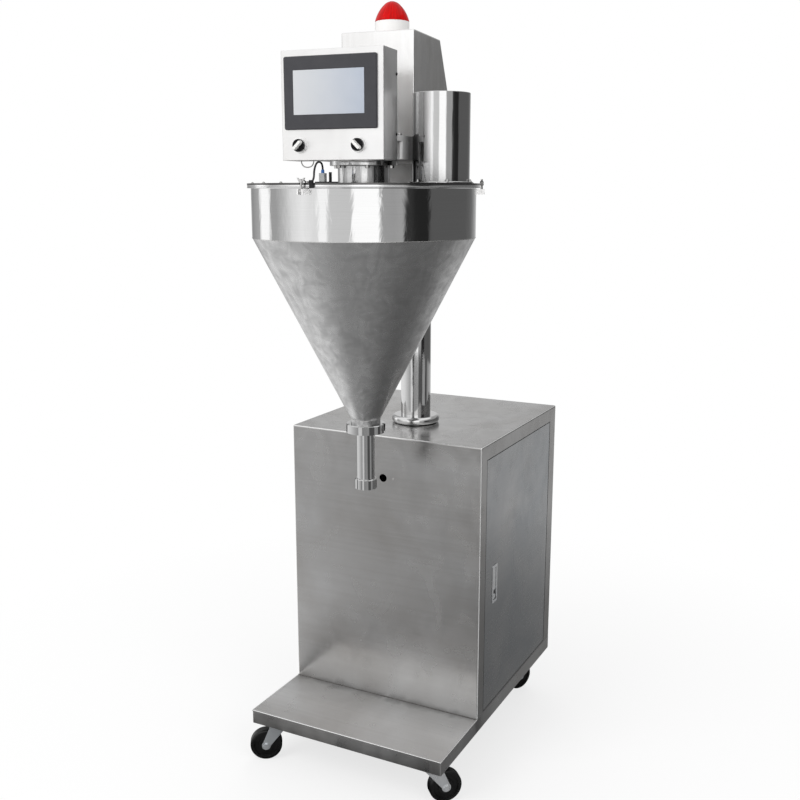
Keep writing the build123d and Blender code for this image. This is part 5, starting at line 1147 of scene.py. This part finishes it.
@dataclass
class Studio:
    """Camera, soft light, pale floor, and grey cards that only polished metal sees."""

    camera_place: Vector = Vector((1.1128, -2.2572, 1.4112))
    camera_yaw: float = math.radians(27.168)
    camera_pitch: float = math.radians(-11.843)
    lens: float = 44.95
    sensor: float = 36.0
    view_end: float = 100.0
    world_light: float = 0.62
    # name, place and power of the lamps
    lamp_list: tuple[tuple[str, Vector, float], ...] = (
        ("key", Vector((-1.6, -3.2, 3.2)), 95), ("fill", Vector((3.2, -1.6, 2.4)), 42),
        ("back", Vector((-0.8, 3.0, 3.2)), 45),
    )
    lamp_size: float = 2.6
    lamp_target: Vector = Vector((0, -0.15, 0.9))
    ring_distance: float = 6.0
    ring_foot: float = 0.01
    ring_top: float = 7.0
    ring_steps: int = 72
    ring_centre: Vector = Vector((0.037, -0.331, 0))
    ring_change: Span = (2.5, 3.2)
    # turn in degrees from the camera's direction to the viewer's right, and brightness, low and high on the ring
    ring_low: Stops = (
        (-180, 0.7), (-152, 0.3), (-128, 0.5), (-122, 1.3), (-107, 1.3), (-103, 0.45), (-94, 0.45), (-84, 0.65),
        (-72, 0.95), (-60, 1.1), (-46, 0.95), (-42, 1.25), (-35, 1.25), (-32, 0.76), (-11, 0.74), (-8, 1.36),
        (16, 1.38), (19, 0.45), (30, 0.42), (40, 0.46), (44, 0.05), (54, 0.024), (67, 0.022), (71, 0.12),
        (125, 0.12), (140, 0.17), (160, 0.5), (180, 0.7),
    )
    ring_high: Stops = (
        (-180, 0.5), (-160, 0.36), (-140, 0.7), (-110, 1.0), (-70, 1.0), (-42, 1.15), (-10, 1.1), (15, 1.1), (45, 0.5),
        (90, 0.35), (140, 0.4), (180, 0.5),
    )
    floor_size: float = 30.0
    floor_tone: float = 0.86
    # distances between which the floor turns white, and how white it is there
    floor_white: Span = (0.5, 1.6, 0.72, 1.0)
    # the same turns and brightnesses for the floor that metal mirrors, from its middle outwards
    floor_near: Stops = (
        (-180, 0.6), (-136, 1.0), (-99, 1.0), (-67, 0.55), (-34, 0.29), (0, 0.34), (34, 0.24), (67, 0.14), (99, 0.15),
        (133, 0.22), (180, 0.6),
    )
    floor_far: Stops = (
        (-180, 0.75), (-136, 0.95), (-99, 0.9), (-64, 0.65), (-40, 0.42), (0, 0.4), (34, 0.3), (67, 0.25), (99, 0.36),
        (128, 0.62), (180, 0.75),
    )
    floor_out: Stops = (
        (-180, 0.75), (-136, 0.95), (-99, 0.88), (-64, 0.57), (-44, 0.4), (-40, 0.85), (-22, 0.85), (-18, 0.32),
        (20, 0.38), (24, 0.1), (52, 0.1), (56, 0.38), (76, 0.34), (80, 0.06), (92, 0.08), (99, 0.28), (128, 0.46),
        (180, 0.7),
    )
    glow_lift: float = 0.001
    floor_change: Span = (1.0, 3.0)
    floor_bands: Span = (1.75, 2.0)
    foot_half: Span = (0.26, 0.392)
    # how the shade at the foot ends before, to the right of and beside it: two distances and their shares of light
    shade_before: Span = (0.19, 0.28, 0.02, 1)
    shade_right: Span = (-0.05, 0.02, 0, 0.9)
    shade_beside: Span = (0.15, 0.2, 0, 1)
    # a paler sheet on the floor: the way across its edge, the edge's distance and blur, shares outside and inside,
    # and the distances over which it ends before, to the right of and beside the foot
    sheet_way: Vector = Vector((0.748, 0.664, 0))
    sheet_edge: float = -0.644
    sheet_blur: float = 0.05
    sheet_shares: Span = (0.7, 1.7)
    sheet_before: Span = (0.42, 0.54)
    sheet_right: Span = (-0.2, -0.12)
    sheet_beside: Span = (0.25, 0.4)

    def build(self) -> None:
        """Set the scene's view, camera, world, floor, lamps and cards."""
        bpy.context.scene.view_settings.view_transform = "Standard"
        self.camera()
        self.world()
        self.floor()
        self.lamps()
        self.ring()
        self.floor_glow()

    def camera(self) -> None:
        """Stand the camera where the photograph was taken from."""
        data = bpy.data.cameras.new("camera")
        data.sensor_width = self.sensor
        data.lens = self.lens
        data.clip_end = self.view_end
        camera = bpy.data.objects.new("camera", data)
        turn = Matrix.Rotation(self.camera_yaw, 4, "Z") @ Matrix.Rotation(math.pi / 2 + self.camera_pitch, 4, "X")
        camera.matrix_world = Matrix.Translation(self.camera_place) @ turn
        bpy.context.scene.collection.objects.link(camera)
        bpy.context.scene.camera = camera

    def world(self) -> None:
        """White to the camera and in reflections, softer as light."""
        world = bpy.data.worlds.new("studio")
        world.use_nodes = True
        tree = world.node_tree
        strength = add_node(tree, "ShaderNodeMapRange", {"Value": self.seen_directly(tree),
                                                         "To Min": self.world_light, "To Max": 1.0})
        background = tree.nodes["Background"].inputs
        put(background["Color"], (1.0, 1.0, 1.0))
        put(background["Strength"], strength.outputs[0])
        bpy.context.scene.world = world

    def seen_directly(self, tree: NodeTree) -> Socket:
        """Tell rays that show a thing from rays that light one.

        Args:
            tree: The node tree that asks.

        Returns:
            1 for rays from the camera, off gloss or through glass, else 0.
        """
        path = add_node(tree, "ShaderNodeLightPath").outputs
        total = path["Is Camera Ray"]
        for name in ("Is Glossy Ray", "Is Transmission Ray"):
            total = add_node(tree, "ShaderNodeMath", {0: total, 1: path[name]}, operation="MAXIMUM").outputs[0]
        return total

    def floor(self) -> None:
        """A pale floor that keeps a soft shadow near the object and is as white as the world farther off."""
        floor = self.square("floor", self.floor_size / 2, 0)
        shader = ShaderTree("floor_pale")
        away = shader.fit(self.reach(shader), *self.floor_white)
        share = shader.math("MULTIPLY", self.seen_directly(shader.tree), away)
        matt = shader.add("BsdfDiffuse", {"Color": (self.floor_tone,) * 3})
        glow = shader.add("Emission")
        shader.show(shader.add("MixShader", {0: share, 1: matt.outputs[0], 2: glow.outputs[0]}))
        floor.data.materials.append(shader.material)
        floor.visible_glossy = False

    def reach(self, shader: ShaderTree) -> Socket:
        """Distance of a point from the origin."""
        return shader.add("VectorMath", {0: shader.coords["Object"]}, operation="LENGTH").outputs["Value"]

    def turn(self, shader: ShaderTree) -> Socket:
        """Turn of a point about the hopper.

        Args:
            shader: The nodes that ask.

        Returns:
            Degrees from the camera's direction to the viewer's right.
        """
        ahead = Vector((math.sin(self.camera_yaw), -math.cos(self.camera_yaw), 0))
        across = Vector((math.cos(self.camera_yaw), math.sin(self.camera_yaw), 0))
        sides = [shader.math("SUBTRACT", shader.along(way), way.dot(self.ring_centre)) for way in (across, ahead)]
        return shader.math("DEGREES", shader.math("ARCTAN2", *sides))

    def flat(self, name: str, corners: list[Triple]) -> bpy.types.Object:
        """A staged sheet through the given corners, joined four at a time.

        Args:
            name: The sheet's name.
            corners: Its corners, four for each face.

        Returns:
            The sheet.
        """
        mesh = bpy.data.meshes.new(name)
        mesh.from_pydata(corners, [], [(i, i + 1, i + 2, i + 3) for i in range(0, len(corners), 4)])
        sheet = bpy.data.objects.new(name, mesh)
        bpy.context.scene.collection.objects.link(sheet)
        return sheet

    def square(self, name: str, half: float, height: float) -> bpy.types.Object:
        """A staged level square about the origin."""
        return self.flat(name, [(x * half, y * half, height) for x, y in ((-1, -1), (1, -1), (1, 1), (-1, 1))])

    def lamps(self) -> None:
        """Three large soft lamps that light matt surfaces and cast soft shadows."""
        for name, place, power in self.lamp_list:
            data = bpy.data.lights.new(name, "AREA")
            data.size = self.lamp_size
            data.energy = power
            lamp = bpy.data.objects.new(name, data)
            turn = (self.lamp_target - place).to_track_quat("-Z", "Y")
            lamp.matrix_world = Matrix.Translation(place) @ turn.to_matrix().to_4x4()
            lamp.visible_glossy = False
            bpy.context.scene.collection.objects.link(lamp)

    def ring(self) -> None:
        """An upright ring of soft light and shade for polished metal to mirror."""
        middle, foot, top = self.ring_centre, self.ring_foot, self.ring_top
        places = [(middle.x + self.ring_distance * math.cos(a), middle.y + self.ring_distance * math.sin(a))
                  for a in (2 * math.pi * k / self.ring_steps for k in range(self.ring_steps + 1))]
        corners = []
        for here, there in zip(places, places[1:]):
            corners += [(*here, foot), (*there, foot), (*there, top), (*here, top)]
        shader = ShaderTree("light_ring")
        turn = self.turn(shader)
        low, high = (shader.ramp(turn, stops) for stops in (self.ring_low, self.ring_high))
        glow = shader.blend(shader.fit(shader.axis("Z"), *self.ring_change), low, high)
        self.mirrored_only(self.flat("light_ring", corners), shader, glow)

    def floor_glow(self) -> None:
        """What the metal mirrors of the floor: brighter on the left, dim on the right and close to the foot."""
        shader = ShaderTree("floor_glow")
        turn, reach = self.turn(shader), self.reach(shader)
        near, far, out = (shader.ramp(turn, stops) for stops in (self.floor_near, self.floor_far, self.floor_out))
        shade = shader.blend(shader.fit(reach, *self.floor_change), near, far)
        shade = shader.blend(shader.fit(reach, *self.floor_bands), shade, out)
        right = shader.math("SUBTRACT", shader.axis("X"), self.foot_half[0])
        beside, before = (shader.math("SUBTRACT", shader.math("ABSOLUTE", shader.axis(axis)), half)
                          for axis, half in zip("XY", self.foot_half))
        close = shader.most(shader.fit(before, *self.shade_before), shader.fit(right, *self.shade_right),
                            shader.fit(beside, *self.shade_beside))
        inside = shader.fit(shader.along(self.sheet_way), self.sheet_edge - self.sheet_blur,
                            self.sheet_edge + self.sheet_blur)
        past = shader.most(shader.fit(before, *self.sheet_before), shader.fit(right, *self.sheet_right),
                           shader.fit(beside, *self.sheet_beside))
        sheet_share = shader.blend(past, shader.blend(inside, *self.sheet_shares), 1.0)
        glow = shader.math("MULTIPLY", shade, shader.math("MULTIPLY", close, sheet_share))
        self.mirrored_only(self.square("floor_glow", self.ring_distance, self.glow_lift), shader, glow)

    def mirrored_only(self, sheet: bpy.types.Object, shader: ShaderTree, glow: Socket) -> None:
        """Let a sheet shine evenly and show it in reflections only.

        Args:
            sheet: The sheet.
            shader: Its material's nodes.
            glow: How strongly it shines.
        """
        shader.show(shader.add("Emission", {"Strength": glow}))
        sheet.data.materials.append(shader.material)
        sheet.visible_camera = sheet.visible_diffuse = sheet.visible_shadow = False
        sheet.visible_transmission = sheet.visible_volume_scatter = False


# Routes of the two cords: right of and ahead of the column, and height
SENSOR_LEAD = Lead("sensor_lead", "sensor_cable", "cord_black", 4 * MM, [
    (-0.037, 0.462, 1.453), (-0.037, 0.462, 1.459), (-0.036, 0.4708, 1.4678), (-0.032, 0.5, 1.4675),
    (-0.024, 0.53, 1.452), (-0.012, 0.556, 1.434), (-0.00349, 0.582, 1.4285),
])
PANEL_LEAD = Lead("panel_lead", "panel_cable", "cord_pale", 2.4 * MM, [
    (-0.086, 0.46, 1.471), (-0.086, 0.46, 1.465), (-0.079, 0.46, 1.458), (-0.065, 0.46, 1.458),
    (-0.058, 0.46, 1.465), (-0.058, 0.46, 1.471),
])


def main() -> None:
    """Build the scene piece by piece."""
    logging.basicConfig(level=logging.INFO, format="%(name)s: %(message)s")
    head = HeadFrame()
    finishes = Finishes(head)
    finishes.build()
    for assembly in (Stand, Hopper, LidTop, DriveHead, PanelFace):
        assembly(finishes, head).build()
    SENSOR_LEAD.build(head, finishes["lead_black"])
    PANEL_LEAD.build(head, finishes["lead_pale"])
    Studio().build()


if __name__ == "__main__":
    main()
